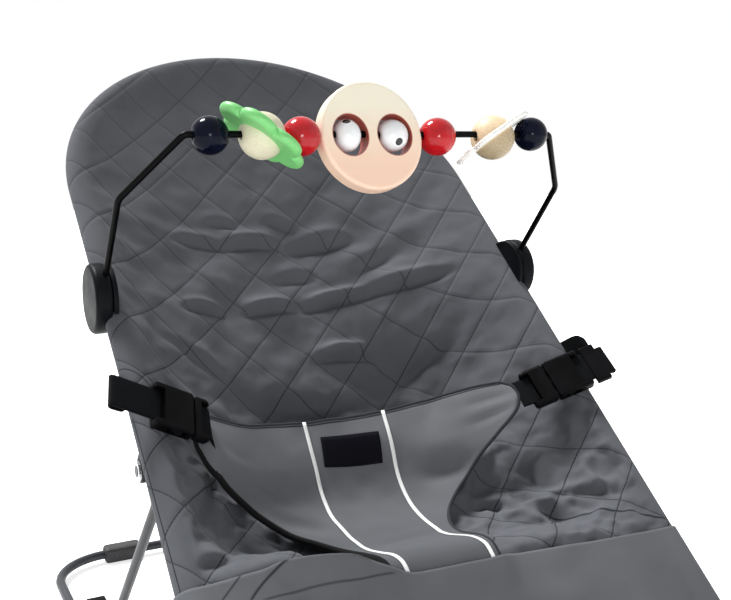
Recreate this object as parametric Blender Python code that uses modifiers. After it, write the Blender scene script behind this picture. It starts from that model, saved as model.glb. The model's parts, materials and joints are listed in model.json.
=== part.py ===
"""Baby rocker: a floor frame of bent wire, a folding seat with a quilted sling, and a bar of wooden toys.

Metres, +Z up. X runs across the seat, -Y is the foot end and +Y the head end. The origin is on the
floor, in the middle of the floor frame.
"""

import math

import bmesh
import bpy
from mathutils import Matrix, Vector

# Clearances
GAP = 0.0003
SOFT_GAP = 0.0005

# Floor frame
BASE_LENGTH = 0.790
BASE_WIRE = 0.005
PAD_HEIGHT = 0.018
PAD_LENGTH = 0.042
PAD_WIDTH = 0.020
REAR_CORNER = 0.060
REAR_PAD_X = 0.105
FRONT_PAD_SETBACK = 0.085

# Front hinge
HINGE_SETBACK = 0.070
HINGE_HEIGHT = 0.095
ROD_RADIUS = 0.004
ROD_HEAD = 0.007
EAR_RADIUS = 0.013
EAR_THICKNESS = 0.0054
TONGUE = 0.012
LUG_RADIUS = 0.010
LUG_REACH = 0.0369
LUG_SOCKET = 0.0205
HEM_WALL = 0.0025

# Seat frame, measured along the seat from the centre of the head arch
SEAT_WIDTH = 0.370
SEAT_TILT = math.radians(39.34)
FOOT_TILT = math.radians(20.0)
FOOT_BEND_RADIUS = 0.245
FOOT_BEND_STEPS = 5
SEAT_STRAIGHT = 0.4599
TUBE_RADIUS = 0.006
SLEEVE_WALL = 0.003

# Sling
COVER_THICKNESS = 0.004
CUTTER_DEPTH = 0.30
COVER_LOW = -0.430
COVER_EDGE_DROP = 0.0035
SAG_POWER = 2.4
SAG = (
    (0.180, 0.000),
    (0.060, 0.020),
    (-0.060, 0.045),
    (-0.160, 0.066),
    (-0.250, 0.076),
    (-0.310, 0.072),
    (-0.350, 0.046),
    (-0.385, 0.016),
    (-0.430, 0.003),
)
QUILT = 0.028
QUILT_PHASE = -0.035
QUILT_PUFF = 0.003

# Foot panel
FOOT_PANEL_TOP = -0.397
FOOT_PANEL_THICKNESS = 0.0025
FOOT_PANEL_RISE = 0.004
FOOT_PANEL_CROWN = 0.005
POCKET_LIFT = 0.026
POCKET_X = -0.108
POCKET_SPREAD = 0.034
POCKET_FADE = 0.055

# Crotch panel: distance along the seat, left and right edge in from the tubes, height in the middle,
# and the share across at which each ribbon lies
PANEL_THICKNESS = 0.003
PANEL_ROWS = (
    (-0.2350, 0.0560, 0.0620, -0.0450, 0.321, 0.609),
    (-0.2440, 0.0482, 0.0550, -0.0470, 0.332, 0.601),
    (-0.2560, 0.0480, 0.0548, -0.0500, 0.329, 0.597),
    (-0.2680, 0.0478, 0.0580, -0.0540, 0.334, 0.603),
    (-0.2780, 0.0475, 0.0740, -0.0570, 0.355, 0.639),
    (-0.2890, 0.0510, 0.0910, -0.0595, 0.371, 0.679),
    (-0.3010, 0.0635, 0.1080, -0.0600, 0.361, 0.714),
    (-0.3140, 0.0775, 0.1245, -0.0565, 0.342, 0.761),
    (-0.3280, 0.0880, 0.1400, -0.0490, 0.340, 0.824),
    (-0.3430, 0.1030, 0.1505, -0.0385, 0.288, 0.867),
    (-0.3580, 0.1230, 0.1550, -0.0225, 0.152, 0.870),
    (-0.3680, 0.1285, 0.1570, -0.0080, 0.112, 0.888),
    (-0.3780, 0.1290, 0.1572, 0.0060, 0.119, 0.901),
    (-0.3870, 0.1294, 0.1570, 0.0140, 0.121, 0.919),
    (-0.3952, 0.1297, 0.1570, 0.0155, 0.124, 0.922),
)
PANEL_TOP_BOW = 0.008
PANEL_END_DROP = 0.006
PANEL_TAB_GAP = 0.0012
PANEL_MIDDLE = -0.004
PANEL_EDGE_INSET = 0.049
PANEL_POWER = 2.2
STRIPE_WIDTH = 0.0045
STRIPE_THICKNESS = 0.0006
STRIPE_LIFT = 0.0006
LABEL_WIDTH = 0.053
LABEL_HEIGHT = 0.027
LABEL_X = -0.010
LABEL_STATION = -0.256
LABEL_THICKNESS = 0.0008

# Harness
WEBBING_WIDTH = 0.026
WEBBING_THICKNESS = 0.0015
BUCKLE_WIDTH = 0.036
BUCKLE_THICKNESS = 0.010
SOCKET_LENGTH = 0.032
SOCKET_WALL = 0.0022
SOCKET_MOUTH = 0.009
PLUG_TONGUE = 0.006
LATCH_LENGTH = 0.021
LATCH_WIDTH = 0.0038
LATCH_WALL = 0.0035
KEEPER_START = -0.0188
KEEPER_LENGTH = 0.013
LEFT_STRAP = {
    "side": -1, "station": -0.2355, "slant": math.radians(13.0), "tilt": math.radians(24.0), "height": 0.0188,
    "start": 0.0055, "plug": 0.0135, "under": -0.2195, "reach": -0.0225,
}
RIGHT_STRAP = {
    "side": 1, "station": -0.2555, "slant": math.radians(2.0), "tilt": math.radians(23.0), "height": 0.0172,
    "start": -0.0020, "plug": 0.0220, "under": -0.2240, "reach": -0.0246,
}

# Rear leg
LEG_WIRE = 0.004
LEG_STATION = -0.260
LEG_DROP = 0.030
LEG_TOP_INSET = 0.019
LEG_FOOT_INSET = 0.003
LEG_LEAN = math.radians(52.0)
LEG_LUG_WIDTH = 0.012
LEG_LUG_INSET = 0.0091
LEG_LUG_RADIUS = 0.009
NUT_RADIUS = 0.0075
NUT_THICKNESS = 0.002

# Position racks on the floor frame
RACK_WALL = 0.0029
RACK_RIB = 0.018
RACK_RIB_INSET = 0.032
RACK_TOOTH = 0.0025
RACK_TOOTH_LENGTH = 0.007
RACK_END = 0.015
RECLINES = (0.0, math.radians(8.0), math.radians(15.5))

# Toy bar, across the seat
TOY_STATION = -0.121
TOY_WIRE = 0.0025
TOY_HEIGHT = 0.1606
TOY_BEND_HEIGHT = 0.102
TOY_BEND_OUTSET = 0.005
TOY_BAR_X = 0.1525
TOY_BEND_RADIUS = 0.014
CLAMP_RADIUS = 0.0285
JAW_INSET = 0.003
JAW_REACH = 0.0115
HUB_THICKNESS = 0.012
SPIGOT_RADIUS = 0.005
SPIGOT_LENGTH = 0.0085

# Wooden toys: centre across the seat and radius
BLUE_X = 0.1345
BLUE_RADIUS = 0.0135
RED_LEFT_X = -0.0655
RED_RIGHT_X = 0.0470
RED_RADIUS = 0.0140
BALL_LEFT_X = -0.0980
BALL_RIGHT_X = 0.0975
BALL_RADIUS = 0.01825
POLE_CUT = 0.0012
BEAD_PLAY = 0.0004
FLOWER_RADIUS = 0.0345
FLOWER_LOBES = 6
FLOWER_LOBE_DEPTH = 0.0030
FLOWER_THICKNESS = 0.0076
FLOWER_NORMAL = Vector((-0.785, -0.053, -0.617))
PALE_NORMAL = Vector((-0.467, 0.387, 0.795))
PALE_THICKNESS = 0.0060
FACE_X = -0.0095
FACE_RADIUS = 0.0410
FACE_THICKNESS = 0.0140
FACE_ROUNDING = 0.0045
FACE_TILT = math.radians(18.0)
EYE_HOLE_RADIUS = 0.01475
EYE_HOLE_OFFSET = 0.0184
EYE_RADIUS = 0.0120
EYE_HALF_WIDTH = 0.0100
EYE_LEFT_X = -0.0300
EYE_RIGHT_X = 0.0085

# Worked out from the sizes above
TUBE_X = SEAT_WIDTH / 2
SLEEVE_RADIUS = TUBE_RADIUS + GAP + SLEEVE_WALL
RAIL_Z = PAD_HEIGHT / 2
HINGE_Y = -BASE_LENGTH / 2 + HINGE_SETBACK
BEND_LENGTH = FOOT_BEND_RADIUS * (SEAT_TILT - FOOT_TILT)
S_BEND = -SEAT_STRAIGHT
S_BEND_END = S_BEND - BEND_LENGTH
S_HINGE = S_BEND_END - LUG_REACH
S_LUG_TOP = S_HINGE + LUG_REACH
S_SLEEVE_END = S_LUG_TOP + SOFT_GAP
COVER_HALF = TUBE_X - SLEEVE_RADIUS - GAP
PANEL_HALF = TUBE_X - PANEL_EDGE_INSET
LEG_TOP_X = TUBE_X - LEG_TOP_INSET
LEG_FOOT_X = TUBE_X - LEG_FOOT_INSET
LEG_LUG_INNER = TUBE_X - LEG_LUG_INSET
RACK_TOP = RAIL_Z + BASE_WIRE + GAP + RACK_WALL
LEG_FOOT_Z = RACK_TOP + GAP + LEG_WIRE
JAW_OUTER = TUBE_X + JAW_REACH
HUB_INNER = JAW_OUTER + GAP
HUB_OUTER = HUB_INNER + HUB_THICKNESS
TOY_BEND_X = TUBE_X + TOY_BEND_OUTSET
TOY_FOOT_X = HUB_INNER + TOY_WIRE + 0.0010
EAR_OUTER = TONGUE / 2 + GAP + EAR_THICKNESS


def fresh_collections():
    """Clears the scene and makes one collection for the parts and one for the cutters."""
    for thing in list(bpy.data.objects):
        bpy.data.objects.remove(thing, do_unlink=True)
    made = []
    for name in ("baby_rocker", "cutters"):
        group = bpy.data.collections.new(name)
        bpy.context.scene.collection.children.link(group)
        made.append(group)
    return made


PARTS, CUTTERS = fresh_collections()


def look(name, colour, roughness, metallic=0.0):
    """A plain Principled material."""
    material = bpy.data.materials.new(name)
    material.use_nodes = True
    shader = material.node_tree.nodes["Principled BSDF"]
    shader.inputs["Base Color"].default_value = (*colour, 1.0)
    shader.inputs["Roughness"].default_value = roughness
    shader.inputs["Metallic"].default_value = metallic
    return material


FRAME_PAINT = look("frame_paint", (0.045, 0.047, 0.052), 0.38, 0.6)
STEEL = look("bright_steel", (0.62, 0.63, 0.65), 0.28, 1.0)
RUBBER = look("foot_rubber", (0.020, 0.020, 0.022), 0.75)
PLASTIC = look("black_plastic", (0.009, 0.009, 0.010), 0.42)
CLAMP_PLASTIC = look("clamp_plastic", (0.011, 0.013, 0.016), 0.50)
TOY_WIRE_PAINT = look("toy_wire_paint", (0.006, 0.006, 0.007), 0.35, 0.4)
QUILTED = look("quilted_cotton", (0.085, 0.087, 0.096), 0.90)
PLAIN = look("plain_cotton", (0.130, 0.137, 0.147), 0.90)
WHITE_RIBBON = look("white_ribbon", (0.86, 0.86, 0.86), 0.75)
LABEL_CLOTH = look("label_cloth", (0.006, 0.006, 0.010), 0.80)
WEBBING = look("webbing", (0.003, 0.003, 0.004), 0.80)
NAVY = look("navy_lacquer", (0.004, 0.006, 0.020), 0.12)
RED = look("red_lacquer", (0.520, 0.012, 0.022), 0.12)
GREEN = look("green_paint", (0.185, 0.560, 0.190), 0.45)
CREAM = look("cream_wood", (0.610, 0.620, 0.440), 0.40)
NATURAL = look("natural_wood", (0.840, 0.680, 0.470), 0.40)
PALE = look("pale_paint", (0.850, 0.840, 0.790), 0.45)
FACE = look("face_paint", (0.930, 0.680, 0.520), 0.40)
EYE_WHITE = look("eye_white", (0.900, 0.910, 0.920), 0.15)


def seat_profile(s):
    """Height line of the seat in side view: y, z and slope at distance s from the arch's centre."""
    foot_top = LUG_REACH
    bend_y = HINGE_Y + foot_top * math.cos(FOOT_TILT)
    bend_z = HINGE_HEIGHT + foot_top * math.sin(FOOT_TILT)
    if s <= S_BEND_END:
        back = s - S_BEND_END
        return bend_y + back * math.cos(FOOT_TILT), bend_z + back * math.sin(FOOT_TILT), FOOT_TILT
    slope = min(SEAT_TILT, FOOT_TILT + (s - S_BEND_END) / FOOT_BEND_RADIUS)
    y = bend_y + FOOT_BEND_RADIUS * (math.sin(slope) - math.sin(FOOT_TILT))
    z = bend_z + FOOT_BEND_RADIUS * (math.cos(FOOT_TILT) - math.cos(slope))
    on = max(0.0, s - S_BEND)
    return y + on * math.cos(SEAT_TILT), z + on * math.sin(SEAT_TILT), slope


def seat_point(x, s, n=0.0):
    """The point x across the seat, s along it and n above its plane."""
    y, z, slope = seat_profile(s)
    return Vector((x, y - n * math.sin(slope), z + n * math.cos(slope)))


def seat_frame(x, s, n=0.0):
    """A frame at a seat point, with X across the seat, Y up along it and Z away from it."""
    slope = seat_profile(s)[2]
    return Matrix.Translation(seat_point(x, s, n)) @ Matrix.Rotation(slope, 4, "X")


ALONG_X = Matrix.Rotation(math.radians(90.0), 4, "Y")
ALONG_Y = Matrix.Rotation(math.radians(-90.0), 4, "X")


def between(stations, at):
    """The value at a place, on straight lines between (place, value) pairs."""
    pairs = sorted(stations)
    if at <= pairs[0][0]:
        return pairs[0][1]
    for (low, low_value), (high, high_value) in zip(pairs, pairs[1:]):
        if at <= high:
            return low_value + (high_value - low_value) * (at - low) / (high - low)
    return pairs[-1][1]


def shade(mesh, angle=35.0):
    mesh.shade_smooth()
    mesh.set_sharp_from_angle(angle=math.radians(angle))


def place(name, mesh, material, matrix=None, cutter=False):
    """Puts a mesh into the scene as a part, or as a cutter."""
    thing = bpy.data.objects.new(name, mesh)
    if material is not None:
        mesh.materials.append(material)
    if matrix is not None:
        thing.matrix_world = matrix
    (CUTTERS if cutter else PARTS).objects.link(thing)
    if cutter:
        thing.hide_render = True
        thing.display_type = "WIRE"
    return thing


def mesh_of(bm, name, angle=35.0):
    bmesh.ops.recalc_face_normals(bm, faces=bm.faces)
    mesh = bpy.data.meshes.new(name)
    bm.to_mesh(mesh)
    bm.free()
    shade(mesh, angle)
    return mesh


def box(name, low, high, material=None, matrix=None, rounding=0.0, cutter=False):
    """A box between two corners, in the frame of the matrix."""
    bm = bmesh.new()
    size = [b - a for a, b in zip(low, high)]
    middle = [(a + b) / 2 for a, b in zip(low, high)]
    bmesh.ops.create_cube(bm, size=1.0, matrix=Matrix.Translation(middle) @ Matrix.Diagonal((*size, 1.0)))
    thing = place(name, mesh_of(bm, name), material, matrix, cutter)
    if rounding:
        round_edges(thing, rounding)
    return thing


def cylinder(name, radius, low, high, material=None, matrix=None, sides=24, rounding=0.0, cutter=False):
    """A cylinder on local Z between two heights."""
    bm = bmesh.new()
    bmesh.ops.create_cone(
        bm, cap_ends=True, segments=sides, radius1=radius, radius2=radius, depth=high - low,
        matrix=Matrix.Translation((0, 0, (low + high) / 2)),
    )
    thing = place(name, mesh_of(bm, name), material, matrix, cutter)
    if rounding:
        round_edges(thing, rounding)
    return thing


def round_edges(thing, width, segments=2, angle=40.0):
    bevel = thing.modifiers.new("round", "BEVEL")
    bevel.width = width
    bevel.segments = segments
    bevel.limit_method = "ANGLE"
    bevel.angle_limit = math.radians(angle)
    return bevel


def boolean(thing, other, operation):
    step = thing.modifiers.new(other.name, "BOOLEAN")
    step.operation = operation
    step.solver = "EXACT"
    step.object = other


def cut(thing, *cutters):
    for cutter in cutters:
        boolean(thing, cutter, "DIFFERENCE")
    return thing


def join(thing, *others):
    for other in others:
        boolean(thing, other, "UNION")
    return thing


def rounded(corners, radii, step=math.radians(15.0)):
    """The path through the corners, each inner one turned into an arc of its own radius."""
    corners = [Vector(corner) for corner in corners]
    path = [corners[0]]
    for before, corner, after, radius in zip(corners, corners[1:], corners[2:], radii):
        come = (corner - before).normalized()
        go = (after - corner).normalized()
        turn = come.angle(go)
        axis = come.cross(go).normalized()
        start = corner - come * radius * math.tan(turn / 2)
        centre = start + axis.cross(come) * radius
        count = max(2, math.ceil(turn / step))
        for k in range(count + 1):
            path.append(centre + Matrix.Rotation(turn * k / count, 3, axis) @ (start - centre))
    path.append(corners[-1])
    return path


def wire(name, points, radius, material, detail=2):
    """A round wire or tube along the points, as a curve."""
    curve = bpy.data.curves.new(name, "CURVE")
    curve.dimensions = "3D"
    curve.bevel_depth = radius
    curve.bevel_resolution = detail
    curve.use_fill_caps = True
    spline = curve.splines.new("POLY")
    spline.points.add(len(points) - 1)
    for knot, point in zip(spline.points, points):
        knot.co = (*point, 1.0)
    if material is not None:
        curve.materials.append(material)
    thing = bpy.data.objects.new(name, curve)
    PARTS.objects.link(thing)
    return thing


def solid_mesh(thing, material=None, cutter=False):
    """Turns a curve object into a mesh object of the same name and place, with welded caps."""
    bpy.context.view_layer.update()
    graph = bpy.context.evaluated_depsgraph_get()
    mesh = bpy.data.meshes.new_from_object(thing.evaluated_get(graph))
    bm = bmesh.new()
    bm.from_mesh(mesh)
    bmesh.ops.remove_doubles(bm, verts=bm.verts, dist=0.00001)
    bmesh.ops.recalc_face_normals(bm, faces=bm.faces)
    bm.to_mesh(mesh)
    bm.free()
    mesh.materials.clear()
    shade(mesh)
    name = thing.name
    matrix = thing.matrix_world.copy()
    bpy.data.objects.remove(thing, do_unlink=True)
    return place(name, mesh, material, matrix, cutter)


def plate(name, outlines, thickness, material=None, matrix=None, cutter=False):
    """A flat plate from one outline and any holes inside it, centred on local Z."""
    curve = bpy.data.curves.new(name, "CURVE")
    curve.dimensions = "2D"
    curve.fill_mode = "BOTH"
    curve.extrude = thickness / 2
    for outline in outlines:
        spline = curve.splines.new("POLY")
        spline.points.add(len(outline) - 1)
        for knot, (x, y) in zip(spline.points, outline):
            knot.co = (x, y, 0.0, 1.0)
        spline.use_cyclic_u = True
    thing = bpy.data.objects.new(name, curve)
    PARTS.objects.link(thing)
    if matrix is not None:
        thing.matrix_world = matrix
    return solid_mesh(thing, material, cutter)


def turned(name, profile, material, matrix, steps=24):
    """A body turned round local Z from a closed (radius, height) profile that runs down its outer side."""
    bm = bmesh.new()
    ring = [bm.verts.new((radius, 0.0, height)) for radius, height in profile]
    for first, second in zip(ring, ring[1:] + ring[:1]):
        bm.edges.new((first, second))
    mesh = bpy.data.meshes.new(name)
    bm.to_mesh(mesh)
    bm.free()
    thing = place(name, mesh, material, matrix)
    screw = thing.modifiers.new("turn", "SCREW")
    screw.axis = "Z"
    screw.steps = steps
    screw.render_steps = steps
    screw.use_merge_vertices = True
    screw.merge_threshold = 0.00001
    screw.use_smooth_shade = True
    return thing


def draped(name, columns, rows, spot, thickness, material, matrix=None):
    """A sheet of cloth: spot(u, v) gives each point of its upper face for u and v from 0 to 1."""
    bm = bmesh.new()
    bmesh.ops.create_grid(bm, x_segments=columns, y_segments=rows, size=0.5)
    for vert in bm.verts:
        vert.co = spot(vert.co.x + 0.5, vert.co.y + 0.5)
    mesh = bpy.data.meshes.new(name)
    bm.to_mesh(mesh)
    bm.free()
    mesh.shade_smooth()
    thing = place(name, mesh, material, matrix)
    solid = thing.modifiers.new("thickness", "SOLIDIFY")
    solid.thickness = thickness
    solid.offset = -1.0
    return thing


def u_line(half_width, low, arch_steps=24):
    """The seat frame's outline as (x, s): up the left side, round the arch and down the right side."""
    knots = [S_BEND_END + BEND_LENGTH * k / FOOT_BEND_STEPS for k in range(FOOT_BEND_STEPS + 1)]
    left = [(-half_width, s) for s in [low] + [knot for knot in knots if knot > low + 0.001]]
    arch = []
    for k in range(arch_steps + 1):
        angle = math.pi * (1 - k / arch_steps)
        arch.append((half_width * math.cos(angle), half_width * math.sin(angle)))
    return left + arch + [(-x, s) for x, s in reversed(left)]


def pin_on(name, parts, location):
    """An empty on a joint's axis, with the moving parts under it."""
    empty = bpy.data.objects.new(name, None)
    empty.location = location
    PARTS.objects.link(empty)
    bpy.context.view_layer.update()
    for part in parts:
        part.parent = empty
        part.matrix_parent_inverse = empty.matrix_world.inverted()
    return empty


# Floor frame

def base_frame():
    """One bent wire: out of the left hinge block, round the nose, along the floor and back."""
    front = -BASE_LENGTH / 2 + BASE_WIRE
    rear = BASE_LENGTH / 2 - PAD_WIDTH / 2
    nose = (HINGE_HEIGHT - RAIL_Z) / 2
    end = HINGE_Y - EAR_RADIUS - 2 * GAP
    right = [
        (TUBE_X, rear, RAIL_Z),
        (TUBE_X, front, RAIL_Z),
        (TUBE_X, front, HINGE_HEIGHT),
        (TUBE_X, end, HINGE_HEIGHT),
    ]
    left = [(-x, y, z) for x, y, z in reversed(right)]
    radii = [nose, nose, REAR_CORNER, REAR_CORNER, nose, nose]
    return wire("base_frame", rounded(left + right, radii), BASE_WIRE, FRAME_PAINT, 3)


def foot_pad(name, matrix):
    """A rubber foot slid on the wire, flat underneath."""
    pad = box(
        name,
        (-PAD_WIDTH / 2, -PAD_HEIGHT / 2, -PAD_LENGTH / 2),
        (PAD_WIDTH / 2, PAD_HEIGHT / 2, PAD_LENGTH / 2),
        RUBBER, matrix, 0.004,
    )
    bore = cylinder(
        name + "_bore", BASE_WIRE + GAP, -PAD_LENGTH, PAD_LENGTH, matrix=matrix, sides=16, cutter=True
    )
    return cut(pad, bore)


def foot_pads():
    rear_y = BASE_LENGTH / 2 - PAD_WIDTH / 2
    front_y = -BASE_LENGTH / 2 + FRONT_PAD_SETBACK
    on_side = Matrix.Rotation(math.radians(90.0), 4, "X")
    on_back = Matrix.Rotation(math.radians(90.0), 4, "Z") @ on_side
    for side, sign in (("left", -1), ("right", 1)):
        foot_pad("rear_foot_" + side, Matrix.Translation((sign * REAR_PAD_X, rear_y, RAIL_Z)) @ on_back)
        foot_pad("front_foot_" + side, Matrix.Translation((sign * TUBE_X, front_y, RAIL_Z)) @ on_side)


def hinge_block(name, sign):
    """Plastic block on the end of the floor wire, forked for the seat's lug."""
    home = Matrix.Translation((sign * TUBE_X, HINGE_Y, HINGE_HEIGHT))
    front = -(EAR_RADIUS + 0.0085)
    block = box(
        name, (-EAR_OUTER, front, -EAR_RADIUS * 0.85), (EAR_OUTER, 0.0, EAR_RADIUS * 0.85),
        PLASTIC, home, 0.003,
    )
    ears = cylinder(
        name + "_ears", EAR_RADIUS, -EAR_OUTER, EAR_OUTER, matrix=home @ ALONG_X, sides=24, cutter=True
    )
    slot_half = TONGUE / 2 + GAP
    slot = box(
        name + "_slot", (-slot_half, -EAR_RADIUS - GAP, -0.05), (slot_half, 0.05, 0.05),
        matrix=home, cutter=True,
    )
    rod_hole = cylinder(
        name + "_rod_hole", ROD_RADIUS + GAP, -0.03, 0.03, matrix=home @ ALONG_X, sides=16, cutter=True
    )
    wire_hole = cylinder(
        name + "_wire_hole", BASE_WIRE + GAP, -0.06, -EAR_RADIUS - GAP, matrix=home @ ALONG_Y,
        sides=16, cutter=True,
    )
    join(block, ears)
    return cut(block, slot, rod_hole, wire_hole)


def hinge_rod():
    """The steel rod through both hinge blocks, with a riveted head at each end."""
    shank = TUBE_X + EAR_OUTER + GAP
    end = shank + 0.004
    profile = [
        (0.0015, end), (ROD_HEAD - 0.001, end), (ROD_HEAD, end - 0.001), (ROD_HEAD, shank),
        (ROD_RADIUS, shank), (ROD_RADIUS, -shank), (ROD_HEAD, -shank), (ROD_HEAD, 0.001 - end),
        (ROD_HEAD - 0.001, -end), (0.0015, -end),
    ]
    home = Matrix.Translation((0, HINGE_Y, HINGE_HEIGHT)) @ ALONG_X
    return turned("hinge_rod", profile, STEEL, home, 20)


def leg_pivot(recline=0.0):
    """The leg's pivot in side view, with the seat leaned back by an angle."""
    at = seat_point(0.0, LEG_STATION, -LEG_DROP)
    arm = Vector((at.y - HINGE_Y, at.z - HINGE_HEIGHT))
    arm.rotate(Matrix.Rotation(-recline, 2))
    return HINGE_Y + arm.x, HINGE_HEIGHT + arm.y


def leg_length():
    return (leg_pivot()[1] - LEG_FOOT_Z) / math.sin(LEG_LEAN)


def leg_foot_y(recline=0.0):
    """Where the leg's foot stands on the racks when the seat is leaned back by an angle."""
    y, z = leg_pivot(recline)
    return y + math.sqrt(leg_length() ** 2 - (z - LEG_FOOT_Z) ** 2)


def position_rack(name, sign):
    """Plastic rack on the side rail, with a tooth behind each of the leg's places."""
    places = [leg_foot_y(recline) for recline in RECLINES]
    low_y = places[0] - LEG_WIRE - RACK_END
    high_y = places[-1] + LEG_WIRE + RACK_TOOTH_LENGTH + RACK_END
    outline = [(low_y, RAIL_Z - 0.003), (high_y, RAIL_Z - 0.003), (high_y, RACK_TOP)]
    for y in reversed(places):
        start = y + LEG_WIRE + GAP
        outline += [
            (start + RACK_TOOTH_LENGTH, RACK_TOP),
            (start + RACK_TOOTH_LENGTH * 0.45, RACK_TOP + RACK_TOOTH),
            (start + RACK_TOOTH_LENGTH * 0.15, RACK_TOP + RACK_TOOTH),
            (start, RACK_TOP),
        ]
    front_y = places[0] - LEG_WIRE - GAP
    outline += [
        (front_y, RACK_TOP), (front_y - 0.0012, RACK_TOP + RACK_TOOTH),
        (front_y - 0.003, RACK_TOP + RACK_TOOTH), (front_y - 0.007, RACK_TOP), (low_y, RACK_TOP),
    ]
    rib_low = TUBE_X - RACK_RIB_INSET
    upright = Matrix(((0, 0, 1, 0), (1, 0, 0, 0), (0, 1, 0, 0), (0, 0, 0, 1)))
    middle = sign * (rib_low + RACK_RIB / 2)
    rack = plate(name, [outline], RACK_RIB, PLASTIC, Matrix.Translation((middle, 0, 0)) @ upright)
    wall = BASE_WIRE + GAP + RACK_WALL
    clip_low, clip_high = sorted((sign * (rib_low + RACK_RIB / 2), sign * (TUBE_X + wall)))
    clip = box(
        name + "_clip", (clip_low, low_y + 0.004, RAIL_Z - wall + 0.0007), (clip_high, high_y - 0.004, RACK_TOP),
        cutter=True,
    )
    bore = cylinder(
        name + "_bore", BASE_WIRE + GAP, low_y - 0.01, high_y + 0.01,
        matrix=Matrix.Translation((sign * TUBE_X, 0, RAIL_Z)) @ ALONG_Y, sides=16, cutter=True,
    )
    join(rack, clip)
    return cut(rack, bore)


# Seat frame and its hinges

def seat_tube():
    line = u_line(TUBE_X, S_LUG_TOP - LUG_SOCKET + 2 * GAP)
    return wire("seat_frame", [seat_point(x, s) for x, s in line], TUBE_RADIUS, FRAME_PAINT, 3)


def seat_lug(name, sign):
    """Plastic end of the seat tube: a socket for the tube and a tongue on the hinge rod."""
    home = seat_frame(sign * TUBE_X, S_HINGE)
    reach = S_LUG_TOP - S_HINGE
    barrel_start = EAR_RADIUS + 0.0015
    lug = cylinder(
        name, LUG_RADIUS, barrel_start, reach, PLASTIC, home @ ALONG_Y, 20, 0.0015
    )
    half = TONGUE / 2
    tongue = box(
        name + "_tongue", (-half, 0.0, -LUG_RADIUS * 0.8), (half, barrel_start + 0.003, LUG_RADIUS * 0.8),
        matrix=home, cutter=True,
    )
    eye = cylinder(name + "_eye", LUG_RADIUS, -half, half, matrix=home @ ALONG_X, sides=16, cutter=True)
    rod_hole = cylinder(
        name + "_hole", ROD_RADIUS + GAP, -0.02, 0.02, matrix=home @ ALONG_X, sides=16, cutter=True
    )
    socket = cylinder(
        name + "_socket", TUBE_RADIUS + GAP, reach - LUG_SOCKET, reach + 0.01, matrix=home @ ALONG_Y,
        sides=16, cutter=True,
    )
    join(lug, tongue, eye)
    return cut(lug, rod_hole, socket)


def cover_sleeve():
    """The channel of the cover round the seat tube, open at both lower ends."""
    outer_line = u_line(TUBE_X, S_SLEEVE_END)
    bore_line = u_line(TUBE_X, S_SLEEVE_END - 0.004)
    sleeve = solid_mesh(
        wire("cover_sleeve", [seat_point(x, s) for x, s in outer_line], SLEEVE_RADIUS, None, 3), QUILTED
    )
    bore = solid_mesh(
        wire("sleeve_bore", [seat_point(x, s) for x, s in bore_line], TUBE_RADIUS + GAP + 0.0002, None, 3),
        cutter=True,
    )
    return cut(sleeve, bore)


def cover_half_width(s):
    return COVER_HALF if s <= 0 else math.sqrt(max(COVER_HALF ** 2 - s * s, 1e-9))


def cover_height(x, s):
    """The sling's upper face above the seat plane, without its quilting."""
    share = min(1.0, abs(x) / cover_half_width(s))
    return -COVER_EDGE_DROP - between(SAG, s) * (1 - share ** SAG_POWER)


def seat_cover():
    """The quilted sling: diamond cells puffed between their seams, cut to the arch's outline."""
    columns = 2 * math.ceil(COVER_HALF / QUILT)
    top = math.ceil((COVER_HALF - QUILT_PHASE) / QUILT)
    bottom = math.floor((COVER_LOW - QUILT_PHASE) / QUILT)
    rows = top - bottom
    bm = bmesh.new()
    bmesh.ops.create_grid(bm, x_segments=columns, y_segments=rows, size=0.5)
    raised = set()
    for vert in bm.verts:
        column = round((vert.co.x + 0.5) * columns) - columns // 2
        row = round((vert.co.y + 0.5) * rows) + bottom
        x = column * QUILT
        s = row * QUILT + QUILT_PHASE
        puff = QUILT_PUFF if (column + row) % 2 else 0.0
        if puff:
            raised.add(vert)
        vert.co = (x, s, cover_height(x, s) + puff)
    even = [face for face in bm.faces if face.verts[0] not in raised]
    odd = [face for face in bm.faces if face.verts[0] in raised]
    bmesh.ops.triangulate(bm, faces=even, quad_method="FIXED")
    bmesh.ops.triangulate(bm, faces=odd, quad_method="ALTERNATE")
    mesh = bpy.data.meshes.new("seat_cover")
    bm.to_mesh(mesh)
    bm.free()
    home = seat_frame(0.0, 0.0)
    cover = place("seat_cover", mesh, QUILTED, home)
    solid = cover.modifiers.new("thickness", "SOLIDIFY")
    solid.thickness = COVER_THICKNESS
    solid.offset = -1.0
    outline = u_line(COVER_HALF, COVER_LOW)
    trim = plate("cover_outline", [outline], CUTTER_DEPTH, matrix=home, cutter=True)
    boolean(cover, trim, "INTERSECT")
    return cover


def foot_panel_half(s):
    beside_lug = TUBE_X - EAR_OUTER - SOFT_GAP
    return beside_lug if s < S_SLEEVE_END + 0.004 else TUBE_X - SLEEVE_RADIUS * 0.955 - GAP


def foot_panel_height(x, s):
    """The plain foot panel above the seat plane, its upper edge lifted at the leg opening."""
    fade = max(0.0, 1 - (FOOT_PANEL_TOP - s) / POCKET_FADE) ** 2
    crown = FOOT_PANEL_CROWN * (1 - (x / TUBE_X) ** 2)
    lift = POCKET_LIFT * math.exp(-((x - POCKET_X) / POCKET_SPREAD) ** 2)
    return FOOT_PANEL_RISE + FOOT_PANEL_THICKNESS / 2 + (crown + lift) * fade


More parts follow.
